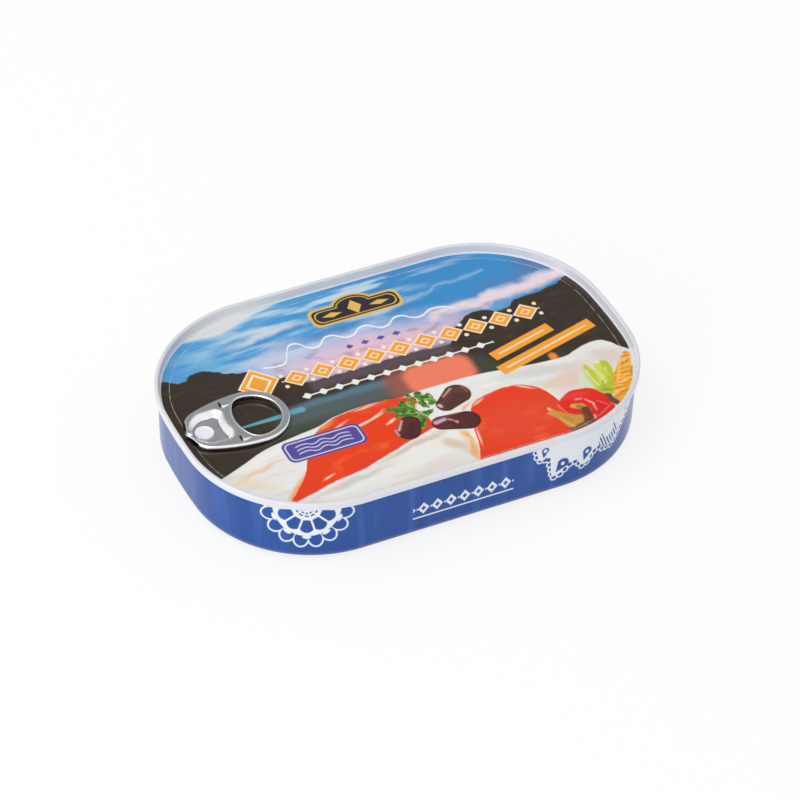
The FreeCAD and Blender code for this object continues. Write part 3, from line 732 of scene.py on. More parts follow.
    def sway(self, noise, reach):
        """A noise as a push of up to about half the reach each way."""
        return self.math("MULTIPLY", self.math("SUBTRACT", noise, 0.5), reach)

    def finish(self, roughness, metallic=0.0, gloss=0.5):
        put(self.tree, self.shader.inputs["Base Color"], self.colour)
        put(self.tree, self.shader.inputs["Roughness"], roughness)
        self.shader.inputs["Metallic"].default_value = metallic
        self.shader.inputs["Specular IOR Level"].default_value = gloss
        return self.material


def flat_places(tree):
    """Object coordinates, and from them places in millimetres: the source,
    what each of its axes is scaled by, and the places."""
    source = tree.nodes.new("ShaderNodeTexCoord").outputs["Object"]
    unit = (1000.0, 1000.0, 0.0)
    return source, unit, vector(tree, "MULTIPLY", source, unit)


# -------------------------------------------------------------- lid's picture

def sky(ink, colours):
    """Blue sky with streaks of cloud, paler and pink towards the land."""
    ink.lay(colours.sky_left)
    ink.lay(colours.sky_right, ink.fade(ink.x, -30, 20))
    ragged = ink.wavering(9, 2.2)
    streaks = ink.noise((26, 5), turn=8, seed=1.0)
    ink.lay((70, 120, 190), ink.both(
        ink.fade(streaks, 0.55, 0.35), ink.oval(-20, 28, 40, 14, edge=6)), 0.6)
    ink.lay((190, 215, 232), ink.both(
        ink.fade(streaks, 0.46, 0.66), ink.oval(-16, 34, 36, 17, edge=8)), 0.95)
    bank = ink.under([(-62, 43), (-57, 41.4), (-50, 40.6), (-45, 40), (-40, 41), (-34, 43.2),
                      (-28, 45.4), (-20, 47)], 0.9, ink.sway(streaks, 3.0))
    bank = ink.without(ink.fade(ink.x, -18, -26), bank)
    ink.lay((218, 222, 222), bank)
    ink.lay((186, 206, 218), ink.both(bank, ink.fade(streaks, 0.5, 0.36)), 0.6)
    ink.marks([
        ("oval", (214, 222, 228), 0.8, 1.2, -30, 35, 13, 1.6, 4),
        ("oval", (204, 220, 230), 0.7, 1.2, -34, 38, 8, 1.2, -6),
        ("oval", (196, 204, 222), 0.5, 2.2, -30, 26, 9, 2.2, 14)], on=ragged)
    ink.lay((205, 222, 235), ink.both(
        ink.fade(streaks, 0.5, 0.6), ink.oval(8, 44, 30, 4, edge=3)), 0.6)
    ink.marks([
        ("stroke", (150, 190, 225), 0.7, 1, 18, 33.6, 46, 35.4, 1.2),
        ("oval", (84, 110, 166), 0.8, 3, 66, 33, 9, 5, -20),
        ("oval", (96, 122, 168), 0.6, 2, 58, 29, 14, 2.4, 4),
        ("oval", (206, 200, 226), 0.85, 5, -8, 18, 42, 7),
        ("oval", (236, 190, 202), 0.9, 4.5, -2, 12, 30, 7.5),
        ("stroke", (238, 218, 227), 0.95, 1.6, 22, 21.2, 76, 25.6, 3.6, 5.5),
        ("oval", (96, 160, 205), 0.8, 1.2, 45, 18.2, 5, 2.6)], on=ragged)


HILL_TOP = [
    (-76, 27), (-68.5, 26.7), (-65, 24.7), (-63, 24), (-60, 25.3), (-57, 26.5), (-53, 25.5),
    (-50, 23.5), (-45, 21.2), (-42, 20), (-40, 17.5), (-33, 13.5), (-26, 8.3), (-10, 8), (10, 8),
    (20, 7), (24, 12), (30, 16), (33, 18), (36, 18.3), (40, 17), (43, 15.5), (46, 16),
    (50, 18.3), (57, 19), (64, 20), (70, 22.5), (76, 23)]


def land(ink, colours):
    """Dark hills, a strip of water and a low sun mirrored in it, all soft."""
    ink.lay(colours.hill, ink.under(HILL_TOP, 0.35, ink.sway(ink.noise((3, 3), seed=2.0), 2.2)))
    ink.marks([("plate", (96, 82, 88), 0.75, 1.6, -3, 6, 24, 2.2, 0, 1)])
    ink.lay((82, 66, 52), ink.both(
        ink.fade(ink.noise((6, 3), seed=3.0), 0.5, 0.7), ink.fade(ink.y, 24, 20)), 0.35)
    soft = ink.wavering(12, 1.2, seed=4.0)
    ink.marks([
        ("plate", (66, 74, 66), 0.9, 2.6, -20, -7, 24, 5.5, 0, 3),
        ("plate", (84, 98, 98), 0.8, 2.2, -20, -5.5, 20, 3.2, 0, 2),
        ("plate", (90, 128, 146), 0.75, 1.2, -21, -1.6, 17, 1.5, 0, 1)], on=soft)
    ink.marks([
        ("stroke", (96, 168, 184), 1, 0.4, -57, -2.6, -34, -2.6, 0.5, 2.4),
        ("plate", (150, 88, 74), 1, 3.4, 9, -5, 14.5, 7, 0, 5),
        ("plate", (239, 126, 96), 1, 1.7, 12, -4.6, 11.4, 6.4, 0, 5)])
    ink.marks([("oval", (60, 68, 56), 0.9, 1.8, 27.5, -7, 3, 5, 12)], on=soft)
    ink.marks([("oval", (240, 140, 62), 1, 0.7, 48, -11.5, 1.3, 1.8)])


FILLET_TOP = [
    (-76, -24.5), (-69, -22), (-60, -18.5), (-50, -14.7), (-40, -13), (-33, -12), (-25, -9.6),
    (-15, -8.8), (-3, -10), (0, -9.3), (20, -9.5), (30, -10.7), (37, -11.8), (45, -12.7),
    (50, -13), (55, -11.8), (60, -10.3), (62.5, -10), (67, -12), (69, -15), (72, -18.5),
    (76, -23)]


def fillets(ink, colours):
    """Pale fillets with warm streaks along them."""
    food = ink.under(FILLET_TOP, 0.3)
    ink.lay(colours.fish, food)
    grain = ink.noise((14, 2.2), turn=-12, seed=5.0)
    ink.lay((240, 239, 235), ink.both(food, ink.fade(grain, 0.48, 0.66)), 0.6)
    ink.lay((230, 208, 190), ink.both(food, ink.fade(grain, 0.46, 0.32)), 0.35)
    soft = ink.wavering(7, 1.4, seed=6.0)
    for share, colour, *numbers in (
            (0.9, (226, 200, 184), 47, -22, 11, 5.5, -4),
            (0.85, (220, 204, 198), 64, -18.5, 7, 4, -30),
            (0.9, (228, 234, 238), 38, -17, 9, 2.4, -14),
            (0.9, (232, 236, 238), 14, -10.8, 16, 1.4, 0),
            (0.9, (232, 234, 232), -14, -33.5, 15, 2.6, 14),
            (0.85, (232, 200, 156), 7.5, -38.5, 2.0, 8.5, 2),
            (0.85, (238, 160, 70), 6.2, -41, 1.0, 3.6, -10),
            (0.85, (240, 178, 96), 7.4, -33.6, 1.0, 2.6, 30),
            (0.9, (246, 240, 232), 9.4, -38, 0.8, 7, 4),
            (0.8, (233, 231, 226), 61, -12.6, 8, 1.6, 4),
            (0.7, (205, 204, 198), 40, -15.5, 12, 2.2, -8),
            (0.8, (235, 233, 228), 12, -11.4, 14, 1.2, 0),
            (0.8, (238, 196, 160), -57, -23, 9, 0.8, 14),
            (0.8, (238, 237, 232), -52, -18, 12, 1.2, 16),
            (0.8, (240, 222, 190), -60, -28, 7, 1.5, -38),
            (0.7, (196, 190, 182), -30, -38.5, 14, 1.4, 9),
            (0.7, (205, 178, 150), -10, -31.5, 12, 1.2, 14),
            (0.8, (236, 233, 226), -14, -37, 17, 2, 14),
            (0.7, (224, 216, 203), -8, -43, 12, 2.2, 6),
            (0.8, (214, 190, 160), 2, -36, 5, 1.6, -55)):
        shape = ink.oval(*numbers, edge=min(numbers[2:4]) * 0.7, on=soft)
        ink.lay(colour, ink.both(food, shape), share)


def sauce(ink, colours):
    """Smooth sauce over each fillet, lighter where it is thin."""
    wave = ink.sway(ink.noise((4, 4), seed=7.0), 1.2)
    left = ink.between(
        [(-56, -41), (-52, -37.6), (-48, -33.4), (-45, -30), (-42.5, -25.5), (-38.5, -19),
         (-34, -13.6), (-30, -11.6), (-25, -10), (-15, -8.9), (-5, -9.6), (0, -11)],
        [(-56, -41), (-50, -39.6), (-45, -38.5), (-40, -37), (-30, -35.5), (-20, -32.5),
         (-12, -30), (0, -26.5)], 0.4, wave)
    right = ink.between(
        [(5, -47), (7, -43), (8.6, -39), (9.8, -34), (11, -30), (12.6, -26), (13.6, -23.2),
         (15.5, -21.3), (20, -19.5), (28, -18.5), (31, -18.8), (35, -21), (38, -24.5),
         (39.3, -28), (40.5, -33), (42, -40)],
        [(5, -50), (42, -50)], 0.4, wave)
    both = ink.any(left, right)
    ink.lay((240, 160, 78), ink.oval(-50.5, -36, 8, 1.3, 46, edge=0.8), 0.8)
    ink.lay(colours.sauce, both)
    tone = ink.noise((9, 5), turn=-20, seed=8.0)
    for colour, mask, share in (
            ((214, 62, 34), ink.both(both, ink.fade(tone, 0.46, 0.3)), 0.55),
            ((243, 112, 58), ink.both(both, ink.fade(tone, 0.55, 0.72)), 0.5),
            ((226, 76, 52), ink.both(right, ink.oval(24, -34, 14, 9, edge=5)), 0.5),
            ((245, 150, 70), ink.both(left, ink.oval(-31, -12.3, 3.5, 1.2, 20, edge=0.8)), 0.8)):
        ink.lay(colour, mask, share)
    ink.marks([
        ("stroke", (222, 226, 192), 0.9, 0.4, 36.4, -20.8, 39.6, -25.4, 0.8, 1.5),
        ("stroke", (232, 234, 206), 0.9, 0.4, 39.6, -25.4, 40.6, -29, 1.5, 1.1),
        ("stroke", (247, 170, 110), 0.9, 0.5, 11.4, -22.4, 14.4, -20.6, 1.3, 1.0),
        ("stroke", (250, 206, 180), 0.9, 0.35, 13.6, -21, 18, -19.4, 0.8, 0.6),
        ("stroke", (250, 196, 168), 0.7, 0.4, -21.5, -16.8, -16, -15.4, 0.9, 0.6),
        ("stroke", (250, 196, 168), 0.6, 0.4, -16, -15.4, -11, -12.8, 0.6, 0.8),
        ("stroke", (250, 190, 160), 0.8, 0.35, -13, -19.4, -9.6, -18.2, 0.8, 0.5)])
    ink.marks([("oval", (250, 214, 196), 0.85, 0.35, *numbers) for numbers in (
        (-39, -34, 1.8, 0.4, 20), (-16, -9.7, 3, 0.35, 4), (-20, -16.4, 3.4, 0.5, 12),
        (-14.5, -14.9, 2.4, 0.45, 16), (-11, -18.6, 1.6, 0.5, 30), (-27, -14.4, 3, 0.35, 24),
        (33, -20.7, 2.6, 0.35, -38), (17, -21.4, 2, 0.35, 24), (10.2, -36, 2.8, 0.3, 78))])


def beans(ink):
    """Three dark beans with soft highlights."""
    for near, far, near_wide, far_wide, body, deep in (
            ((7.4, -18.4), (12.7, -15.4), 6.2, 8.8, (98, 58, 48), (70, 40, 34)),
            ((-6.5, -22), (-8.3, -25), 6.8, 7.6, (88, 42, 38), (64, 30, 28)),
            ((2.5, -25.7), (10.3, -27.6), 6.2, 8.3, (90, 36, 40), (72, 40, 36))):
        ink.lay((52, 26, 22), ink.stroke(*near, *far, near_wide, far_wide, edge=0.3))
        ink.lay(body, ink.stroke(*near, *far, near_wide - 1.1, far_wide - 1.3, edge=0.7))
        ink.lay(deep, ink.stroke(
            near[0] + 0.6, near[1] - 1, far[0] + 0.4, far[1] - 1.2,
            near_wide * 0.4, far_wide * 0.45, edge=1.3), 0.7)
    for colour, *numbers in (
            ((214, 168, 150), 8.2, -14.9, 11.8, -12.3, 0.5, 0.7),
            ((150, 96, 76), 15.6, -12.6, 16.2, -15.4, 0.9, 0.6),
            ((236, 208, 196), 5.4, -18, 5.7, -18.8, 1.1, 0.9),
            ((232, 178, 168), -8.3, -19.8, -10.9, -23.4, 0.6, 0.9),
            ((204, 170, 196), -11.9, -23.2, -11.8, -25.6, 0.6, 0.6),
            ((222, 176, 204), 0.9, -24.9, 4, -24.5, 1.6, 1.3),
            ((218, 150, 156), 5.2, -25, 6.3, -26, 0.7, 0.5),
            ((230, 160, 160), 6.9, -26.8, 7.1, -27.2, 0.9, 0.8),
            ((160, 74, 70), 0.4, -23.4, 9, -23.6, 0.3, 0.5),
            ((122, 40, 38), 1.4, -27.2, 4.6, -28, 0.9, 0.9)):
        ink.lay(colour, ink.stroke(*numbers, edge=0.45), 0.85)
    ink.lay((92, 54, 50), ink.stroke(8.2, -27.8, 9.4, -29.4, 0.6, 0.4, edge=0.5), 0.6)


def herbs(ink):
    """A sprig of parsley and a few salad leaves, with ragged edges."""
    ink.lay((236, 228, 222), ink.oval(-0.2, -17, 1.8, 2.6, edge=0.5))
    toothed = ink.wavering(1.1, 0.75, seed=9.0)
    leaf = ink.any(*[ink.stroke(*numbers, edge=0.22, on=toothed) for numbers in (
        (-10.8, -13.4, -5, -15.2, 1.0, 5.2), (-9.4, -17.6, -5, -16.6, 1.0, 4.4),
        (-4.6, -15, -4.2, -18.4, 5.2, 5.0), (-4.6, -11.9, -3.2, -15, 1.2, 3.6),
        (-1.6, -9.4, -1.3, -12.4, 1.0, 2.0), (1.4, -10.6, 1.9, -12.6, 2.6, 3.4),
        (4.4, -12.2, 4.1, -15.6, 1.8, 2.6), (0.8, -14.6, 1.7, -17, 2.0, 1.6),
        (-0.4, -19.6, 2.2, -19.4, 2.8, 1.4), (-7, -20.9, -3.4, -20.2, 1.2, 2.8),
        (-3.6, -25.2, -2.2, -21.6, 1.2, 3.6))])
    tone = ink.noise((1.7, 0.9), turn=35, seed=10.0, detail=4)
    ink.lay((84, 128, 44), leaf)
    for colour, gone, full in (
            ((48, 88, 30), 0.49, 0.38), ((128, 178, 76), 0.54, 0.63), ((190, 222, 150), 0.64, 0.74)):
        ink.lay(colour, ink.both(leaf, ink.fade(tone, gone, full)))
    for colour, *numbers in (
            ((142, 206, 96), -3.4, -12.8, -2.4, -16, 0.8),
            ((140, 196, 92), -6.4, -20.8, -3.6, -20, 0.7),
            ((140, 200, 84), 4.6, -12.6, 4.3, -15, 0.7),
            ((200, 220, 160), -2.2, -18, -2.8, -21, 0.3),
            ((206, 226, 176), -1, -19, -0.4, -21, 0.5),
            ((196, 224, 160), 2.4, -14.4, 3, -17, 0.5),
            ((52, 92, 34), -8, -14.4, -5, -15.6, 0.3),
            ((60, 92, 34), -3.2, -24.2, -2, -22, 0.9)):
        ink.lay(colour, ink.stroke(*numbers, edge=0.35, on=toothed), 0.75)
    long = ink.wavering(3.5, 0.7, seed=11.0)
    for colour, *numbers in (
            ((214, 224, 196), 51.8, -21.6, 51.6, -29, 1.2, 5.0),
            ((206, 216, 150), 53.6, -24, 54.2, -30, 2.2, 4.0),
            ((222, 232, 190), 59.6, -18.4, 59, -22, 1.2, 2.6),
            ((190, 202, 64), 54.9, -19.6, 55.2, -30, 1.3, 4.2),
            ((208, 216, 92), 58.6, -20.8, 57.8, -31, 2.6, 5.4),
            ((184, 196, 44), 61, -20.6, 60, -30, 2.4, 3.8),
            ((178, 192, 62), 53.6, -32.6, 57.6, -32, 4.2, 5.6),
            ((226, 230, 150), 54.2, -22, 54.4, -29, 0.5, 0.8),
            ((226, 232, 160), 57.6, -24, 57, -29.6, 0.7, 0.5),
            ((214, 220, 110), 60.2, -22.4, 59.6, -27, 0.7, 0.4),
            ((146, 158, 44), 55, -32, 58.4, -33.4, 0.9, 0.5),
            ((162, 176, 50), 55.8, -31, 56.8, -28, 0.5, 0.8)):
        ink.lay(colour, ink.stroke(*numbers, edge=0.4, on=long))


def pepper_and_corn(ink):
    """A curl of red pepper with a dry pod in it, and a small yellow cob."""
    cob = ink.any(
        ink.stroke(57.4, -38.4, 63.4, -28.8, 3.4, 6.2, edge=0.35),
        ink.stroke(63.4, -28.8, 69.6, -19.4, 6.2, 2.2, edge=0.35))
    ink.lay((234, 158, 38), cob)
    rows = ink.noise((5, 0.75), turn=-57, seed=13.0, detail=2)
    ink.lay((252, 205, 96), ink.both(cob, ink.fade(rows, 0.5, 0.64)))
    ink.lay((212, 128, 22), ink.both(cob, ink.fade(rows, 0.46, 0.34)))
    ink.lay((250, 208, 120), ink.stroke(61, -30, 66.4, -21.4, 0.8, 0.4, edge=0.4), 0.7)
    ink.lay((146, 136, 54), ink.stroke(66.6, -28.6, 68.4, -25.6, 0.9, 0.7, edge=0.5), 0.8)
    bend = ink.wavering(5, 0.5, seed=12.0)
    ink.lay((98, 70, 38), ink.stroke(54.6, -35.4, 55.8, -39, 3.4, 2.2, edge=0.4, on=bend))
    red = ink.any(
        ink.oval(46.6, -36.2, 7.9, 8.0, edge=0.35, on=bend),
        ink.stroke(46.5, -36.5, 50.6, -39.6, 12, 8, edge=0.35, on=bend))
    ink.lay((225, 34, 24), red)
    ink.lay((208, 22, 22), ink.both(red, ink.oval(47, -40, 7, 2.6, 20, edge=2)), 0.6)
    ink.lay((240, 70, 50), ink.both(red, ink.oval(45, -30.6, 5, 1.4, -6, edge=1)), 0.6)
    for colour, *numbers in (
            ((244, 120, 112), 38.9, -33, 39.6, -37, 0.7, 0.4),
            ((248, 150, 140), 44.9, -32.5, 46.6, -33, 0.8, 0.7),
            ((250, 176, 164), 47.6, -33.8, 48.9, -36.4, 0.5, 0.7),
            ((250, 160, 150), 48.9, -36.4, 48.3, -39.4, 0.7, 0.4),
            ((250, 170, 160), 46.8, -41.6, 46.4, -42.8, 0.9, 0.6),
            ((246, 120, 108), 50.8, -35.6, 52.8, -38.6, 0.3, 0.3),
            ((216, 168, 84), 42.9, -34.8, 45, -36.2, 1.8, 2.4),
            ((146, 120, 44), 44.2, -35.6, 45.8, -38.4, 1.4, 2.6),
            ((98, 52, 30), 45.4, -38, 44.4, -43, 2.6, 3.8),
            ((132, 84, 40), 42.4, -38.8, 43.4, -40.6, 1.4, 2.2),
            ((216, 158, 92), 34.2, -34.9, 36.4, -36.4, 0.9, 2.6),
            ((206, 150, 66), 35.5, -32.8, 36.4, -36.6, 1.0, 2.8),
            ((200, 148, 62), 36.6, -36.6, 39.8, -41.4, 2.8, 6.2),
            ((204, 146, 70), 39.8, -41.4, 42, -40.2, 4.6, 2.8),
            ((112, 78, 38), 37.8, -44.6, 43.4, -44.2, 1.6, 3.2),
            ((226, 180, 96), 36.8, -38.4, 38.6, -43.4, 0.5, 0.8),
            ((170, 124, 48), 38.2, -38.6, 39.6, -40.8, 0.4, 0.8),
            ((250, 226, 190), 35.2, -33, 35.6, -33.8, 0.7, 0.6)):
        ink.lay(colour, ink.stroke(*numbers, edge=0.4, on=bend), 0.9)


def ornament(ink, colours):
    """Plain banners, a row of lozenges, a wavy line, a plaque and a label."""
    banner, cream = colours.banner, (250, 232, 206)
    gold, dark, pale = (226, 184, 92), (44, 40, 50), (232, 234, 244)
    for x, y, wide, high in ((42.2, -1.1, 11.9, 2.1), (48.3, -6.3, 19, 2.25)):
        ink.lay(banner, ink.plate(x, y, wide, high, 14.8, 0.15))
        ink.lay(cream, ink.plate(x, y, wide - 2.4, 0.28, 14.8, 0.2), 0.9)
    pitch = 8.8
    along = ink.math("SUBTRACT", ink.x, -33.6)
    repeat = make(ink.tree, "CombineXYZ", ink.math("WRAP", along, 0.0, pitch), ink.y, 0.0)
    row = ink.both(ink.fade(along, -0.6, -0.5), ink.fade(along, pitch * 10 + 0.6, pitch * 10 + 0.5))
    for colour, wide, high, lead_wide, lead_high in (
            (cream, 4.4, 4.1, 7, 7.6), (banner, 3.7, 3.4, 6.3, 6.9),
            (cream, 1.9, 1.6, 4.5, 5.1), (banner, 1.3, 1.0, 3.4, 3.9)):
        each = ink.lozenge(pitch / 2, 11.6, wide, high, on=repeat)
        ink.lay(colour, ink.any(
            ink.both(row, each), ink.lozenge(-41.2, 13.6, lead_wide, lead_high)))
    for level in (9.0, 14.2):
        dots = [ink.oval(x, level, 0.75, 0.75, on=repeat) for x in (0, pitch)]
        ink.lay(cream, ink.both(row, ink.any(*dots)))

    small = make(ink.tree, "CombineXYZ", ink.math("WRAP", ink.x, 0.0, 5.4), ink.y, 0.0)
    thread = ink.fade(ink.math("ABSOLUTE", ink.math("SUBTRACT", ink.y, 2.5)), 0.42, 0.12)
    ink.lay((236, 236, 232), ink.both(
        ink.span(-31.3, 34.1, 0.3), ink.any(ink.lozenge(2.7, 2.5, 1.7, 1.5, on=small), thread)))
    ink.lay((92, 86, 160), ink.both(
        ink.span(-9, 12, 0.2), ink.lozenge(2.7, 18.7, 1.5, 1.1, on=small)))
    ink.lay((240, 242, 246), ink.line(
        [(-37, 20), (-31, 19), (-24, 27), (-18, 22.5), (-12, 26), (-6, 23), (0, 26), (6, 23),
         (12, 26), (18, 23), (24, 25), (30, 22.5)], 0.75, 0.3))

    for colour, grow in ((gold, 0), (dark, -0.9), (gold, -1.6), (dark, -1.95)):
        ink.lay(colour, ink.any(
            ink.plate(1.6, 35, 15.6 + grow, 4.4 + grow, rounding=2.4),
            ink.oval(1.6, 37, 7.4 + grow, 5.6 + grow)))
    ink.lay(gold, ink.any(*[ink.lozenge(*numbers) for numbers in (
        (1.6, 36, 2.4, 3.4), (-6.6, 35, 3.4, 1.2), (9.8, 35, 3.4, 1.2))]))
    ink.lay((84, 74, 152), ink.plate(-34, -19.5, 13, 4.8, rounding=2.4, edge=0.25))
    ink.lay(pale, ink.without(
        ink.plate(-34, -19.5, 12.2, 4.0, rounding=1.9, edge=0.15),
        ink.plate(-34, -19.5, 11.8, 3.6, rounding=1.6, edge=0.15)), 0.9)
    for y in (-17.9, -19.5, -21.1):
        wave = [(-43, y), *[(-40 + 3 * k, y + (0.5, -0.5)[k % 2]) for k in range(5)], (-25, y)]
        ink.lay(pale, ink.line(wave, 0.4), 0.85)


def lid_print(scene):
    """The lid's picture under clear lacquer, with a lighter line along the score that is partly
    painted highlight and partly wear.
    """
    colours = scene.print_colours
    ink = Ink("lid print", flat_places)
    sky(ink, colours)
    land(ink, colours)
    fillets(ink, colours)
    sauce(ink, colours)
    herbs(ink)
    beans(ink)
    pepper_and_corn(ink)
    ornament(ink, colours)
    # Along the score line, a lighter colour in patches: partly painted highlight where the groove
    # catches the light, partly lacquer worn off the score.
    score_sheen_and_wear = ink.tree.nodes.new("ShaderNodeAttribute")
    score_sheen_and_wear.attribute_name = "score_sheen_and_wear"
    sheen_and_wear = ink.fade(ink.noise((3, 3), seed=9.0), 0.3, 0.6)
    ink.lay((214, 200, 186), ink.both(score_sheen_and_wear.outputs["Fac"], sheen_and_wear), 0.5)
    return ink.finish(0.14)


# ----------------------------------------------------------------- materials

def wall_places(tree, around):
    """Places on the body's print in millimetres: x runs round the wall and y
    upwards; half way round the print repeats."""
    spot = vector(tree, "SCALE", make(tree, "UVMap", uv_map="print"), None, None, 1 / MM)
    half = around / MM / 2
    x = total(tree, "WRAP", dot(tree, spot, ALONG), half * 2, half)
    place = make(tree, "CombineXYZ", x, dot(tree, spot, ACROSS))
    return place, (1.0, 1.0, 1.0), place


def fan_places(ink, x, y, pitch, narrow=1.0, lean=0.0):
    """Places in one leaf of a fan about (x, y): across the leaf and outwards
    from the middle.  pitch is a leaf's angle in degrees, narrow squeezes the
    fan sideways, and lean turns it."""
    tree = ink.tree
    away = vector(tree, "SUBTRACT", ink.place, (x, y, 0.0))
    away = vector(tree, "MULTIPLY", away, (narrow, 1.0, 0.0))
    reach = vector(tree, "LENGTH", away)
    angle = ink.math(
        "ARCTAN2", dot(tree, away, ALONG), dot(tree, away, (0.0, -1.0, 0.0)))
    step = math.radians(pitch)
    if lean:
        angle = ink.math("SUBTRACT", angle, math.radians(lean + pitch / 2))
    leaf = ink.math("WRAP", angle, step / 2, -step / 2)
    across = ink.math("MULTIPLY", reach, leaf)
    return make(tree, "CombineXYZ", across, reach, 0.0), reach


def half_doily(ink, x, y):
    """Lace hanging from the seam: a small fan, a ring of wide cells, a close
    band and thin loops round it."""
    cells, reach = fan_places(ink, x, y, 33, 1.12)
    loops, _ = fan_places(ink, x, y, 21.5, 1.12, 2.3)
    band = ink.fade(reach, 11.9, 11.5)
    across = ink.math("ABSOLUTE", make(ink.tree, "SeparateXYZ", cells))
    side = ink.math("MULTIPLY", reach, math.radians(33 / 2))
    bow = ink.math("MULTIPLY", across, across)
    near = ink.math("MULTIPLY_ADD", bow, -0.16, reach)
    far = ink.math("MULTIPLY_ADD", bow, 0.2, reach)
    cell = ink.both(
        ink.fade(ink.math("SUBTRACT", side, across), 0.2, 0.5),
        ink.fade(near, 5.0, 5.4), ink.fade(far, 10.7, 10.3))
    notch = ink.oval(0, 12.2, 1.5, 0.7, on=cells)
    arcs = [ink.plate(0, far, wide, 0.3, rounding=0.25, edge=0.15, on=cells)
            for far, wide in ((2.4, 0.45), (3.6, 0.75))]
    lace = ink.any(ink.without(ink.without(band, cell), ink.any(*arcs)), notch)
    outer = ink.oval(0, 13.2, 2.95, 3.5, on=loops)
    inner = ink.oval(0, 13.2, 2.3, 2.85, on=loops)
    return ink.any(lace, ink.both(ink.without(outer, inner), ink.fade(reach, 11.2, 11.6)))


LACE_EDGE = np.array([
    (338.6, 22), (339.4, 17.6), (341.0, 15.2), (343.2, 16.2), (344.2, 12), (345.2, 7.2),
    (347.6, 7.8), (351.4, 11.2), (353.4, 11), (355.2, 8.2), (356.8, 8), (359.6, 11.6),
    (362, 12.4), (364, 10.6), (368, 9.6), (371, 11), (373.4, 13.6), (377, 16), (380, 18),
    (382, 22)])


def spaced(points, gap):
    """Points at even spacing along a line of straight runs."""
    far = np.concatenate([[0], np.cumsum(np.linalg.norm(np.diff(points, axis=0), axis=1))])
    spots = np.linspace(0, far[-1], round(far[-1] / gap) + 1)
    return np.stack([np.interp(spots, far, points[:, k]) for k in (0, 1)], axis=1)


def nearest(ink, spots):
    """Distance from each place to the nearest of the spots."""
    return ink.joined(
        "MINIMUM", [vector(ink.tree, "DISTANCE", ink.place, (*spot, 0)) for spot in spots])


def hanging_lace(ink):
    """A long lace edge under the seam, with small loops all along it, wedge
    shaped eyes and a ribbed medallion."""
    cloth = ink.between([(337.6, 30), (360, 30), (383, 30)], LACE_EDGE, 0.2)
    away = nearest(ink, spaced(LACE_EDGE, 2.15))
    loop = ink.fade(away, 1.5, 1.15)
    hollow = ink.without(ink.fade(away, 0.95, 0.65), ink.between(
        [(337.6, 30), (360, 30), (383, 30)], [(x, y + 0.5) for x, y in LACE_EDGE], 0.2))
    lace = ink.without(ink.any(cloth, loop), hollow)
    for start, end, wide, thin in (
            ((342.0, 19.4), (341.6, 17.2), 2.6, 0.6), ((348.4, 12.0), (346.4, 9.4), 4.2, 0.6),
            ((357.2, 13.2), (356.2, 10.4), 3.6, 0.6), ((376.4, 19.4), (376, 18), 1.8, 0.6)):
        lace = ink.without(lace, ink.stroke(*start, *end, wide, thin))
        lace = ink.any(lace, ink.oval(*start, 0.62, 0.7))
    medallion = ink.oval(366.6, 14.4, 4.6, 3.9, edge=0.25)
    rib = ink.math("PINGPONG", ink.math("ADD", ink.x, ink.math("MULTIPLY", ink.y, 0.45)), 0.62)
    ribs = ink.both(medallion, ink.fade(rib, 0.4, 0.22))
    ribs = ink.without(ribs, ink.oval(366.2, 16.4, 2.6, 2.0))
    specks = ink.both(cloth, ink.fade(ink.noise((0.9, 0.9), seed=12.0), 0.74, 0.78))
    return ink.without(ink.without(lace, ribs), specks)


def body_print(scene, around):
    """Blue print with lace under the seam and a plain row of lozenges, on a
    wall of some length around, with vertical streaks of painted reflection."""
    colours = scene.print_colours
    ink = Ink("body print", wall_places, around)
    ink.lay(colours.wall_blue)
    # Vertical lighter and darker streaks: painted reflection, standing in for the sheen of the
    # wall's shallow drawing marks.
    tone = ink.noise((5, 60), seed=1.0)
    ink.lay((64, 106, 180), ink.fade(tone, 0.52, 0.72), 0.4)
    ink.lay((16, 56, 130), ink.fade(tone, 0.48, 0.3), 0.35)
    white = colours.lace_white
    ink.lay(white, ink.both(ink.any(
        half_doily(ink, 263.8, 22), hanging_lace(ink)), ink.fade(ink.y, 4.2, 4.6)))
    pitch = 4.6
    row_x = ink.math("WRAP", ink.x, 0.0, pitch)
    row = make(ink.tree, "CombineXYZ", row_x, ink.y, 0.0)
    span = ink.both(ink.fade(ink.x, 297.6, 298.1), ink.fade(ink.x, 331.9, 331.4))
    ink.lay((224, 229, 238), ink.both(span, ink.any(
        ink.without(ink.lozenge(2.3, 11.2, 1.9, 2.3, on=row),
                    ink.lozenge(2.3, 11.2, 0.8, 1.0, on=row)),
        ink.oval(0, 11.2, 0.45, 0.45, on=row),
        ink.fade(ink.math("ABSOLUTE", ink.math("SUBTRACT", ink.y, 7.8)), 0.4, 0.15))))
    return ink.finish(0.22, gloss=0.32)


def speckled(ink, grain, low, high, seed=0.0, detail=4):
    """A value that wanders between two limits."""
    def build(tree, place, grain, seed, detail, low, high):
        moved = vector(tree, "ADD", place, make(tree, "CombineXYZ", seed, seed, seed))
        cloud = make(tree, "TexNoise", moved, None, total(tree, "DIVIDE", 1.0, grain), detail)
        return [make(tree, "MapRange", cloud, 0.3, 0.7, low, high)]

    names = ("Grain", "Seed", "Detail", "Low", "High")
    group = tool("speckle", [("Place", "Vector")] + [(name, "Float") for name in names],
                 [("Value", "Float")], build)
    return call(ink.tree, group, ink.place, grain, seed * 17.0, detail, low, high)[0]


def bumped(ink, height, strength, distance):
    """Raise the surface a little by a height."""
    node = ink.tree.nodes.new("ShaderNodeBump")
    node.inputs["Strength"].default_value = strength
    node.inputs["Distance"].default_value = distance * MM
    put(ink.tree, node.inputs["Height"], height)
    put(ink.tree, ink.shader.inputs["Normal"], node.outputs[0])


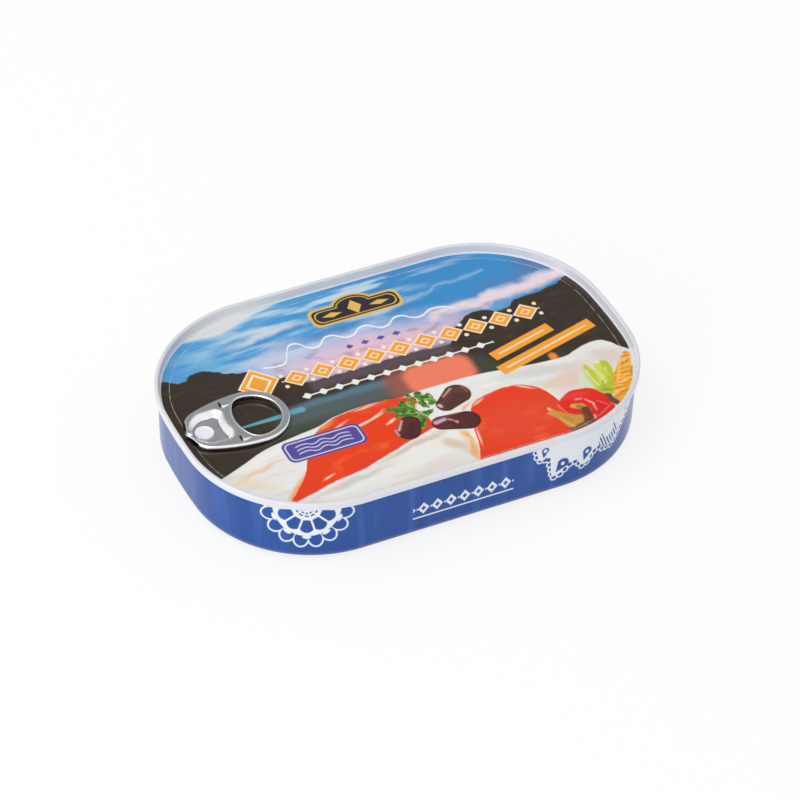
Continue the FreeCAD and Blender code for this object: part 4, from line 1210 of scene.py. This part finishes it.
def solid_places(tree):
    """Object coordinates, and from them places in millimetres, on all axes."""
    source = tree.nodes.new("ShaderNodeTexCoord").outputs["Object"]
    unit = (1000.0, 1000.0, 1000.0)
    return source, unit, vector(tree, "MULTIPLY", source, unit)


def pull_metal(scene):
    """Stamped aluminium with fine drawing marks and faint handling marks."""
    ink = Ink("pull metal", solid_places)
    ink.lay(scene.print_colours.pull)
    ink.lay((214, 217, 222), ink.fade(
        ink.noise((2.5, 0.5), turn=20, seed=1.0, detail=1), 0.45, 0.8), 0.5)
    return ink.finish(speckled(ink, 3.5, 0.24, 0.3, seed=3.0, detail=1), metallic=1.0)


def lug_painted_shadow():
    """Painted shadow for the hollow of a lug: a near-black colour standing in for the shade inside
    the hood.
    """
    ink = Ink("lug painted shadow", solid_places)
    # near-black painted shadow, with slightly lighter patches from noise
    ink.lay((24, 22, 22))
    ink.lay((52, 50, 50), ink.fade(ink.noise((0.8, 0.8), seed=2.0), 0.5, 0.7))
    return ink.finish(0.7)


def rivet_metal(scene):
    """The rivet's head, pressed matt."""
    ink = Ink("rivet metal", solid_places)
    ink.lay(scene.print_colours.rivet)
    bumped(ink, ink.noise((0.3, 0.3), seed=4.0), 0.1, 0.005)
    return ink.finish(speckled(ink, 0.8, 0.42, 0.56, seed=5.0), metallic=0.1)


def white_lacquer(scene):
    """White lacquer of the seam, a little greyer in patches."""
    ink = Ink("white lacquer", solid_places)
    ink.lay(scene.print_colours.seam_white)
    ink.lay((206, 209, 218), ink.fade(ink.noise((14, 14), seed=6.0), 0.48, 0.7), 0.6)
    bumped(ink, ink.noise((1.5, 1.5), seed=7.0), 0.05, 0.02)
    return ink.finish(speckled(ink, 5, 0.2, 0.32, seed=8.0))


def tinplate():
    """Bare tinplate of the base, with rolling marks."""
    ink = Ink("tinplate", solid_places)
    ink.lay((206, 207, 210))
    ink.lay((182, 184, 189), ink.fade(ink.noise((30, 0.7), seed=14.0), 0.48, 0.66), 0.6)
    return ink.finish(speckled(ink, 6, 0.3, 0.42, seed=15.0, detail=2), metallic=1.0)


# -------------------------------------------------------------------- pieces

def body_profile(size):
    """Outward and upward places of the body's skin, from the middle of its
    base round to where the lid covers it."""
    wall, base = size.wall_inset, size.wall_inset + size.wall_draft
    recess = base + size.base_round + size.standing_ring
    top = TIN_HEIGHT - size.seam_high
    under = size.wall_inset + size.lid_sheet + 0.05 * MM
    lean, soft = 0.25 * MM, 0.25 * MM
    low, low_high = rounded([
        (-BASE_MIDDLE, size.base_recess, 0),
        (-recess - lean - 0.05 * MM, size.base_recess, soft),
        (-recess + lean - 0.05 * MM, 0, soft),
        (-base, 0, size.base_round),
        (-wall, top, 0),
    ])
    start = np.array([low[-2], low_high[-2]])
    wall_run = start + (np.array([-wall, top]) - start) * np.linspace(0, 1, 14)[1:, None]
    out = np.concatenate([low[:-1], wall_run[:, 0], [-under, -under]])
    high = np.concatenate([low_high[:-1], wall_run[:, 1], [top, top - TUCK]])
    return out, high


class TIN_OT_body(bpy.types.Operator):
    """Build the printed body with its rounded base."""

    bl_idname = "tin.body"
    bl_label = "Body"

    def execute(self, context):
        scene = context.scene
        size = scene.tin_sizes
        outline = tin_outline(size, 1.6 * MM)
        out, high = body_profile(size)
        wall = outline.moved(-size.wall_inset)
        steps = np.linalg.norm(np.diff(wall, axis=0, append=wall[:1]), axis=1)
        far = np.concatenate([[0], np.cumsum(steps)])
        places = np.stack(np.broadcast_arrays(far, high[:, None]), axis=2)
        bare = out[1:] < -size.wall_inset - size.wall_draft - size.base_round / 2
        skin = Skin()
        skin.grid(outline.carry(out, high), slot=bare, caps=(1, 0), places=places)
        piece = skin.build("printed_body", [body_print(scene, far[-1]), tinplate()])
        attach(piece, "root")
        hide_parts("tin_body")
        return {"FINISHED"}


def lid_rings(size, outline, well):
    """The lid's skin as rings of one length, from the underside of the well
    out over the seam and in to the well's floor, with the number of the
    first printed band and which rings lie in the score line."""
    panel = TIN_HEIGHT - size.countersink
    sheet, deep = size.lid_sheet, panel - size.well_depth
    under = panel - sheet
    seam = TIN_HEIGHT - size.seam_high
    hook = size.wall_inset + sheet + 0.1 * MM
    foot = size.seam_width + size.chuck_slope
    score, score_end = size.score_inset, size.score_inset + size.score_width
    middle = score_end + 0.35 * MM
    out, high = rounded([
        (-middle, under, 0),
        (-hook, under, 0),
        (-hook, seam, 0),
        (0, seam, 0.45 * MM),
        (0, TIN_HEIGHT, 0.5 * MM),
        (-size.seam_width, TIN_HEIGHT, 0.45 * MM),
        (-foot, panel, 0.5 * MM),
        (-score, panel, 0.08 * MM),
        (-score - size.score_width / 2, panel - size.score_depth, 0.06 * MM),
        (-score_end, panel, 0.08 * MM),
        (-middle, panel, 0),
    ])
    shelf, shelf_high = rounded([
        (0.8 * MM, panel, 0),
        (0, panel, 0.3 * MM),
        (-0.45 * MM, deep, 0.3 * MM),
        (-1.6 * MM, deep, 0),
    ], steps=5)
    around = outline.moved(0)

    def at(grow, level):
        ring = towards(well.moved(grow) + RIVET_PLACE[:2], RIVET_PLACE[:2] + WELL_MIDDLE, around)
        return np.insert(ring, 2, level, axis=1)[None]

    rings = np.concatenate(
        [at(sheet, deep - sheet), at(sheet, under), outline.carry(out, high)]
        + [at(*spot) for spot in zip(shelf, shelf_high)])
    upper = high > under + 0.01 * MM
    inner = np.flatnonzero((out <= -foot) & (high <= panel + 0.01 * MM) & upper)
    groove = (out < -score - 0.04 * MM) & (out > 0.04 * MM - score_end) & upper
    return rings, 2 + inner[0], 2 + np.flatnonzero(groove)


class TIN_OT_lid(bpy.types.Operator):
    """Build the lid: rolled seam, inner wall, scored panel and well."""

    bl_idname = "tin.lid"
    bl_label = "Lid"

    def execute(self, context):
        scene = context.scene
        size = scene.tin_sizes
        well = well_outline(size, scene.pull_sizes, 0.5 * MM)
        rings, first_print, score = lid_rings(size, tin_outline(size, 0.9 * MM), well)
        skin = Skin()
        skin.grid(rings, slot=np.arange(len(rings) - 1) >= first_print, caps=(0, 1))
        piece = skin.build("printed_lid", [white_lacquer(scene), lid_print(scene)])
        # Marks the score's rings for the lighter line of painted highlight and wear.
        score_sheen_and_wear = np.zeros(rings.shape[:2], np.float32)
        score_sheen_and_wear[score] = 1
        layer = piece.data.attributes.new("score_sheen_and_wear", "FLOAT", "POINT")
        layer.data.foreach_set("value", score_sheen_and_wear.ravel())
        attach(piece, "root")
        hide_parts("lid")
        return {"FINISHED"}


def eased(t):
    """0 up to 0 and 1 from 1 on, with 3 * t ** 2 - 2 * t ** 3 between."""
    t = np.clip(t, 0, 1)
    return t * t * (3 - 2 * t)


def rim_run(pull, outline):
    """Half the rim's thickness and how far it stands back, at each point of
    the outline: thin and set back beside the nose, full from the shoulders
    on."""
    past_nose, change, tip = 0.9 * MM, 0.7 * MM, 2.2 * MM
    x, y = outline.moved(0).T
    t = eased((x + pull.nose_reach + past_nose) / change)
    half = (pull.lip + (pull.rim_wire - pull.lip) * t) / 2
    back = pull.lip_inset * (1 - t) * np.clip(np.abs(y) / tip, 0, 1)
    return half, back


def plate_round(inner, middle, outer, low, high):
    """A flat plate between an outline and a rim round it: rays from the middle
    to each point of the rim start at the outline, or just inside the rim if
    that is nearer; the four rows are the plate's edges, and they close on
    themselves."""
    start = towards(inner, middle, outer)
    far = np.linalg.norm(outer - middle, axis=1)
    share = np.minimum(np.linalg.norm(start - middle, axis=1) / far, 0.97)[:, None]
    start = middle + (outer - middle) * share
    return np.stack([
        np.insert(start, 2, low, axis=1), np.insert(outer, 2, low, axis=1),
        np.insert(outer, 2, high, axis=1), np.insert(start, 2, high, axis=1)])


def slope_run(pull, window):
    """The slope's width at each point of the window, narrower at the nose."""
    at_nose, change = 0.56, 4.5 * MM
    x = window.moved(0)[:, 0]
    return pull.slope_width * (at_nose + (1 - at_nose) * eased((x - x.min()) / change))


def window_surround(pull, window, wide, web_high):
    """The slope round the window: moving out from it the metal climbs from
    the tongue to the web as sin(t * a quarter turn) ** 1.2."""
    t = np.linspace(0, 1, 13)
    top = pull.tongue_sheet + (web_high - pull.tongue_sheet) * np.sin(t * TAU / 4) ** 1.2
    upper = window.carry(t[:, None] * wide, top)
    lower = window.carry(t[:, None] * wide, top - pull.web_sheet)
    return np.concatenate([lower, upper[::-1]])


def lug(pull, side, foot):
    """A lug's hood, open at its slit: cross-sections from the slit to the tip
    are half ovals whose width falls as sqrt(1 - t * t) and whose height falls
    as 1 - t ** 1.5, with an inner half oval below them for the sheet."""
    sheet, sunk = 0.16 * MM, 0.06 * MM
    least_wide, least_tall = 0.02 * MM, 0.01 * MM
    t = np.linspace(0, 0.985, 14)[:, None]
    arch = np.linspace(0, TAU / 2, 19)[None]
    wide = pull.lug_width / 2 * np.sqrt(1 - t ** 2)
    tall = pull.lug_rise * (1 - t ** 1.5)
    x = pull.lug_reach + pull.lug_length * t + 0 * arch
    skins = []
    for inset in (0, sheet):
        y = side * pull.lug_side + np.maximum(wide - inset, least_wide) * np.cos(arch)
        z = foot - sunk + np.maximum(tall - inset, least_tall) * np.sin(arch)
        skins.append(np.stack([x, y, z], axis=2))
    return np.concatenate([skins[0], skins[1][:, ::-1]], axis=1)[:, ::-1]


def lug_shadow_plug(pull, side, foot):
    """A sheet inside a lug that carries its painted shadow: half ovals at places
    from the slit, each with its share of the full height, make a slot that
    lies on the web in front of the slit and a plug behind it."""
    room_wide, room_tall, sunk, raised = 0.1 * MM, 0.12 * MM, 0.02 * MM, 0.03 * MM
    arch = np.linspace(0, TAU / 2, 15)
    wide, tall = pull.lug_width / 2 - room_wide, pull.lug_rise - room_tall
    off_foot = raised * (np.sin(arch) > 0.01)
    loops = [np.stack([
        pull.lug_reach + x * MM + 0 * arch,
        side * pull.lug_side + wide * np.cos(arch) * min(1.0, 0.8 + share),
        foot - sunk + tall * share * np.sin(arch) + off_foot], axis=1)
        for x, share in ((-0.5, 0.04), (0.05, 0.1), (0.15, 1.0), (1.2, 0.7))]
    return np.stack(loops)[:, ::-1]


def nose_bead(pull, height):
    """A small raised bead on the nose: an oval dome, with its foot turned in
    below the web's face."""
    long, wide, tall, past_nose = 0.9 * MM, 1.3 * MM, 0.6 * MM, 0.95 * MM
    turn = TAU * np.arange(24) / 24
    rise = np.linspace(-0.6, 1, 9)[:-1, None] * TAU / 4
    x = -pull.nose_reach - past_nose + long * np.cos(rise) * np.cos(turn)
    y = wide * np.cos(rise) * np.sin(turn)
    z = height + tall * np.sin(rise) + 0 * turn
    return np.stack([x, y, z], axis=2)


def web_parts(pull, rim, half, back):
    """The web's outer edge about the hole and about the window: the rim's
    middle line, cut in two by a straight line across the pull."""
    cut, count = 8.8 * MM, 24
    border = rim.moved(-half - back)
    upper = border[border[:, 1] > 0]
    width = np.interp(cut, *upper[np.argsort(upper[:, 0])].T)
    line = np.stack([np.full(count, cut), np.linspace(-width, width, count)], axis=1)
    parts = border[border[:, 0] > cut], border[border[:, 0] < cut]
    for part, middle_x in zip(parts, (pull.ring_reach, pull.window_reach)):
        edge = np.concatenate([part, line])
        yield edge[np.argsort(np.arctan2(edge[:, 1], edge[:, 0] - middle_x))]


class TIN_OT_ring_pull(bpy.types.Operator):
    """Build the ring pull: rim, finger hole's edge, web with its slope and
    lugs, nose and tongue."""

    bl_idname = "tin.ring_pull"
    bl_label = "Ring pull"

    def execute(self, context):
        scene = context.scene
        pull = scene.pull_sizes
        rim, hole, window = (
            outline(pull, 0.35 * MM) for outline in (pull_outline, hole_outline, window_outline))
        crown = scene.tin_sizes.well_depth + pull.rim_gap + pull.rim_wire
        web_high = crown - pull.web_drop
        web_low = web_high - pull.web_sheet
        half, back = rim_run(pull, rim)
        slope = slope_run(pull, window)
        skin = Skin()
        turn = TAU * np.arange(24)[:, None] / 24
        skin.grid(rim.carry(
            -back - half - half * np.cos(turn), crown - half + half * np.sin(turn)), wrap=True)
        turn = -TAU * np.arange(20) / 20
        bead = crown + 0.05 * MM - pull.bead_high / 2
        skin.grid(hole.carry(
            -pull.bead_width / 2 * np.cos(turn), bead - pull.bead_high / 2 * np.sin(turn)),
            wrap=True)
        skin.grid(window_surround(pull, window, slope, web_high), wrap=True)
        skin.grid(nose_bead(pull, web_high), caps=(0, 0))
        for shape, middle_x, edge in zip(
                (hole.moved(0), window.moved(slope - 0.1 * MM)),
                (pull.ring_reach, pull.window_reach), web_parts(pull, rim, half, back)):
            middle = np.array([middle_x, 0])
            skin.grid(plate_round(shape, middle, edge, web_low, web_high), wrap=True)
        for side in (1, -1):
            skin.grid(lug(pull, side, web_high), caps=(0, 0))
            # the sheet inside each lug takes slot 1, its painted shadow
            skin.grid(lug_shadow_plug(pull, side, web_high), slot=1, caps=(1, 1))
        skin.grid(window.carry(*rounded([
            (-1.1 * MM, 0, 0),
            (-0.15 * MM, 0, 0.05 * MM),
            (-0.15 * MM, pull.tongue_sheet, 0.12 * MM),
            (-1.1 * MM, pull.tongue_sheet, 0),
        ], steps=4)), caps=(0, 0))
        for rows in skin.points:
            rows += RIVET_PLACE
        piece = skin.build("pull_ring", [pull_metal(scene), lug_painted_shadow()], crease=50)
        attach(piece, "root")
        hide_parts("ring_pull")
        return {"FINISHED"}


class TIN_OT_rivet(bpy.types.Operator):
    """Build the rivet with its flattened, dished head."""

    bl_idname = "tin.rivet"
    bl_label = "Rivet"

    def execute(self, context):
        scene = context.scene
        sheet = scene.pull_sizes.tongue_sheet
        top = RIVET_HIGH.z - RIVET_LOW.z
        reach = (RIVET_HIGH.x - RIVET_LOW.x) / 2
        radius, height = rounded([
            (0.5 * MM, 0, 0),
            (1.6 * MM, 0, 0),
            (1.6 * MM, sheet, 0),
            (reach, sheet, 0.15 * MM),
            (reach, top, 0.3 * MM),
            (reach - 0.7 * MM, top, 0.3 * MM),
            (reach - 1.1 * MM, top - 0.12 * MM, 0.3 * MM),
            (0.5 * MM, top - 0.1 * MM, 0),
        ])
        angle = TAU * np.arange(96) / 96
        rings = np.stack(np.broadcast_arrays(
            radius[:, None] * np.cos(angle), radius[:, None] * np.sin(angle), height[:, None]),
            axis=2)
        skin = Skin()
        skin.grid(rings + RIVET_PLACE, caps=(0, 0))
        piece = skin.build("rivet_head", [rivet_metal(scene)])
        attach(piece, "root")
        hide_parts("rivet")
        return {"FINISHED"}


# --------------------------------------------------------------------- stage

def lamp(name, power, wide, place):
    """A flat lamp of some width and depth, turned to the model's origin."""
    light = bpy.data.lights.new(name, "AREA")
    light.energy = power
    light.shape = "RECTANGLE"
    light.size, light.size_y = wide
    item = bpy.data.objects.new(name, light)
    bpy.context.scene.collection.objects.link(item)
    item.location = place
    item.rotation_euler = (-Vector(place)).to_track_quat("-Z", "Y").to_euler()


class TIN_OT_stage(bpy.types.Operator):
    """Set up the camera, the lamps, the floor and the surround."""

    bl_idname = "tin.stage"
    bl_label = "Stage"

    def execute(self, context):
        scene = context.scene
        stage = scene.stage_settings
        scene.view_settings.view_transform = "Standard"
        side, up = stage.azimuth, stage.elevation
        back = Vector((
            math.sin(side) * math.cos(up), -math.cos(side) * math.cos(up), math.sin(up)))
        across = (-back).cross(Vector((0, 0, 1))).normalized()
        above = across.cross(-back)
        lean_across = across * math.cos(stage.roll) + above * math.sin(stage.roll)
        lean_above = above * math.cos(stage.roll) - across * math.sin(stage.roll)
        camera = bpy.data.cameras.new("camera")
        camera.lens = stage.lens
        camera.sensor_width = 36
        camera.shift_x, camera.shift_y = 0.0028, -0.0036
        camera.clip_start, camera.clip_end = 0.01, 20
        eye = bpy.data.objects.new("camera", camera)
        scene.collection.objects.link(eye)
        turn = Matrix((lean_across, lean_above, back)).transposed().to_4x4()
        middle = Vector((0, 0, TIN_HEIGHT / 2))
        eye.matrix_world = Matrix.Translation(middle + back * stage.distance) @ turn
        scene.camera = eye

        reach = 4.0
        corners = [(x * reach, y * reach, 0) for x, y in ((-1, -1), (1, -1), (1, 1), (-1, 1))]
        mesh = bpy.data.meshes.new("floor")
        mesh.from_pydata(corners, [], [(0, 1, 2, 3)])
        floor = bpy.data.objects.new("floor", mesh)
        scene.collection.objects.link(floor)
        mesh.materials.append(floor_paint())

        world = bpy.data.worlds.new("surround")
        world.use_nodes = True
        world.cycles.sampling_method = "NONE"
        scene.world = world
        tree = world.node_tree
        ground = tree.nodes["Background"]
        ground.inputs["Color"].default_value = (1, 1, 1, 1)
        path = tree.nodes.new("ShaderNodeLightPath")
        source = tree.nodes.new("ShaderNodeTexCoord")
        facing = dot(tree, source.outputs["Generated"], SCREEN_PLACE)
        screen = make(tree, "MapRange", fade(tree, facing, 0.55, 0.9), 0.0, 1.0, 1.0,
                      stage.screen_light)
        shiny = path.outputs["Is Glossy Ray"]
        light = make(tree, "Mix", shiny, None, stage.sky_light, screen)
        strength = make(tree, "Mix", path.outputs["Is Camera Ray"], None, light, 1.0)
        put(tree, ground.inputs["Strength"], strength)

        lamp("key", stage.key_power, (0.9, 0.7), (-0.55, 0.1, 1.3))
        lamp("fill", stage.fill_power, (0.9, 0.5), (-1.3, -0.65, 0.4))
        return {"FINISHED"}


def floor_paint():
    """Pale floor that keeps the shadow and is lifted towards white for the
    camera and in reflections."""
    material = bpy.data.materials.new("pale floor")
    material.use_nodes = True
    tree = material.node_tree
    tree.nodes.remove(tree.nodes["Principled BSDF"])
    path = tree.nodes.new("ShaderNodeLightPath")
    seen = total(tree, "MAXIMUM", path.outputs["Is Camera Ray"], path.outputs["Is Glossy Ray"])
    lift = total(tree, "MULTIPLY", seen, 0.82)
    matt = make(tree, "BsdfDiffuse", (0.95, 0.95, 0.95, 1))
    mix = make(tree, "MixShader", lift, matt, make(tree, "Emission"))
    put(tree, tree.nodes["Material Output"].inputs["Surface"], mix)
    return material


class TIN_PT_panel(bpy.types.Panel):
    """The sizes, the colours and a button for each piece."""

    bl_idname = "TIN_PT_panel"
    bl_label = "Fish tin"
    bl_space_type = "VIEW_3D"
    bl_region_type = "UI"
    bl_category = "Tin"

    def draw(self, context):
        scene = context.scene
        for group in (scene.tin_sizes, scene.pull_sizes, scene.print_colours, scene.stage_settings):
            box = self.layout.box()
            for name in group.bl_rna.properties.keys():
                if name not in ("rna_type", "name"):
                    box.prop(group, name)
        for operator in OPERATORS:
            self.layout.operator(operator.bl_idname)


OPERATORS = (TIN_OT_stage, TIN_OT_body, TIN_OT_lid, TIN_OT_ring_pull, TIN_OT_rivet)
GROUPS = {
    "tin_sizes": TinSizes,
    "pull_sizes": PullSizes,
    "print_colours": PrintColours,
    "stage_settings": StageSettings,
}


def register():
    for group in GROUPS.values():
        bpy.utils.register_class(group)
    for name, group in GROUPS.items():
        setattr(bpy.types.Scene, name, bpy.props.PointerProperty(type=group))
    for item in (*OPERATORS, TIN_PT_panel):
        bpy.utils.register_class(item)


def unregister():
    for item in (TIN_PT_panel, *reversed(OPERATORS)):
        bpy.utils.unregister_class(item)
    for name, group in GROUPS.items():
        delattr(bpy.types.Scene, name)
        bpy.utils.unregister_class(group)


def main():
    register()
    bpy.ops.tin.stage()
    bpy.ops.tin.body()
    bpy.ops.tin.lid()
    bpy.ops.tin.ring_pull()
    bpy.ops.tin.rivet()


if __name__ == "__main__":
    main()
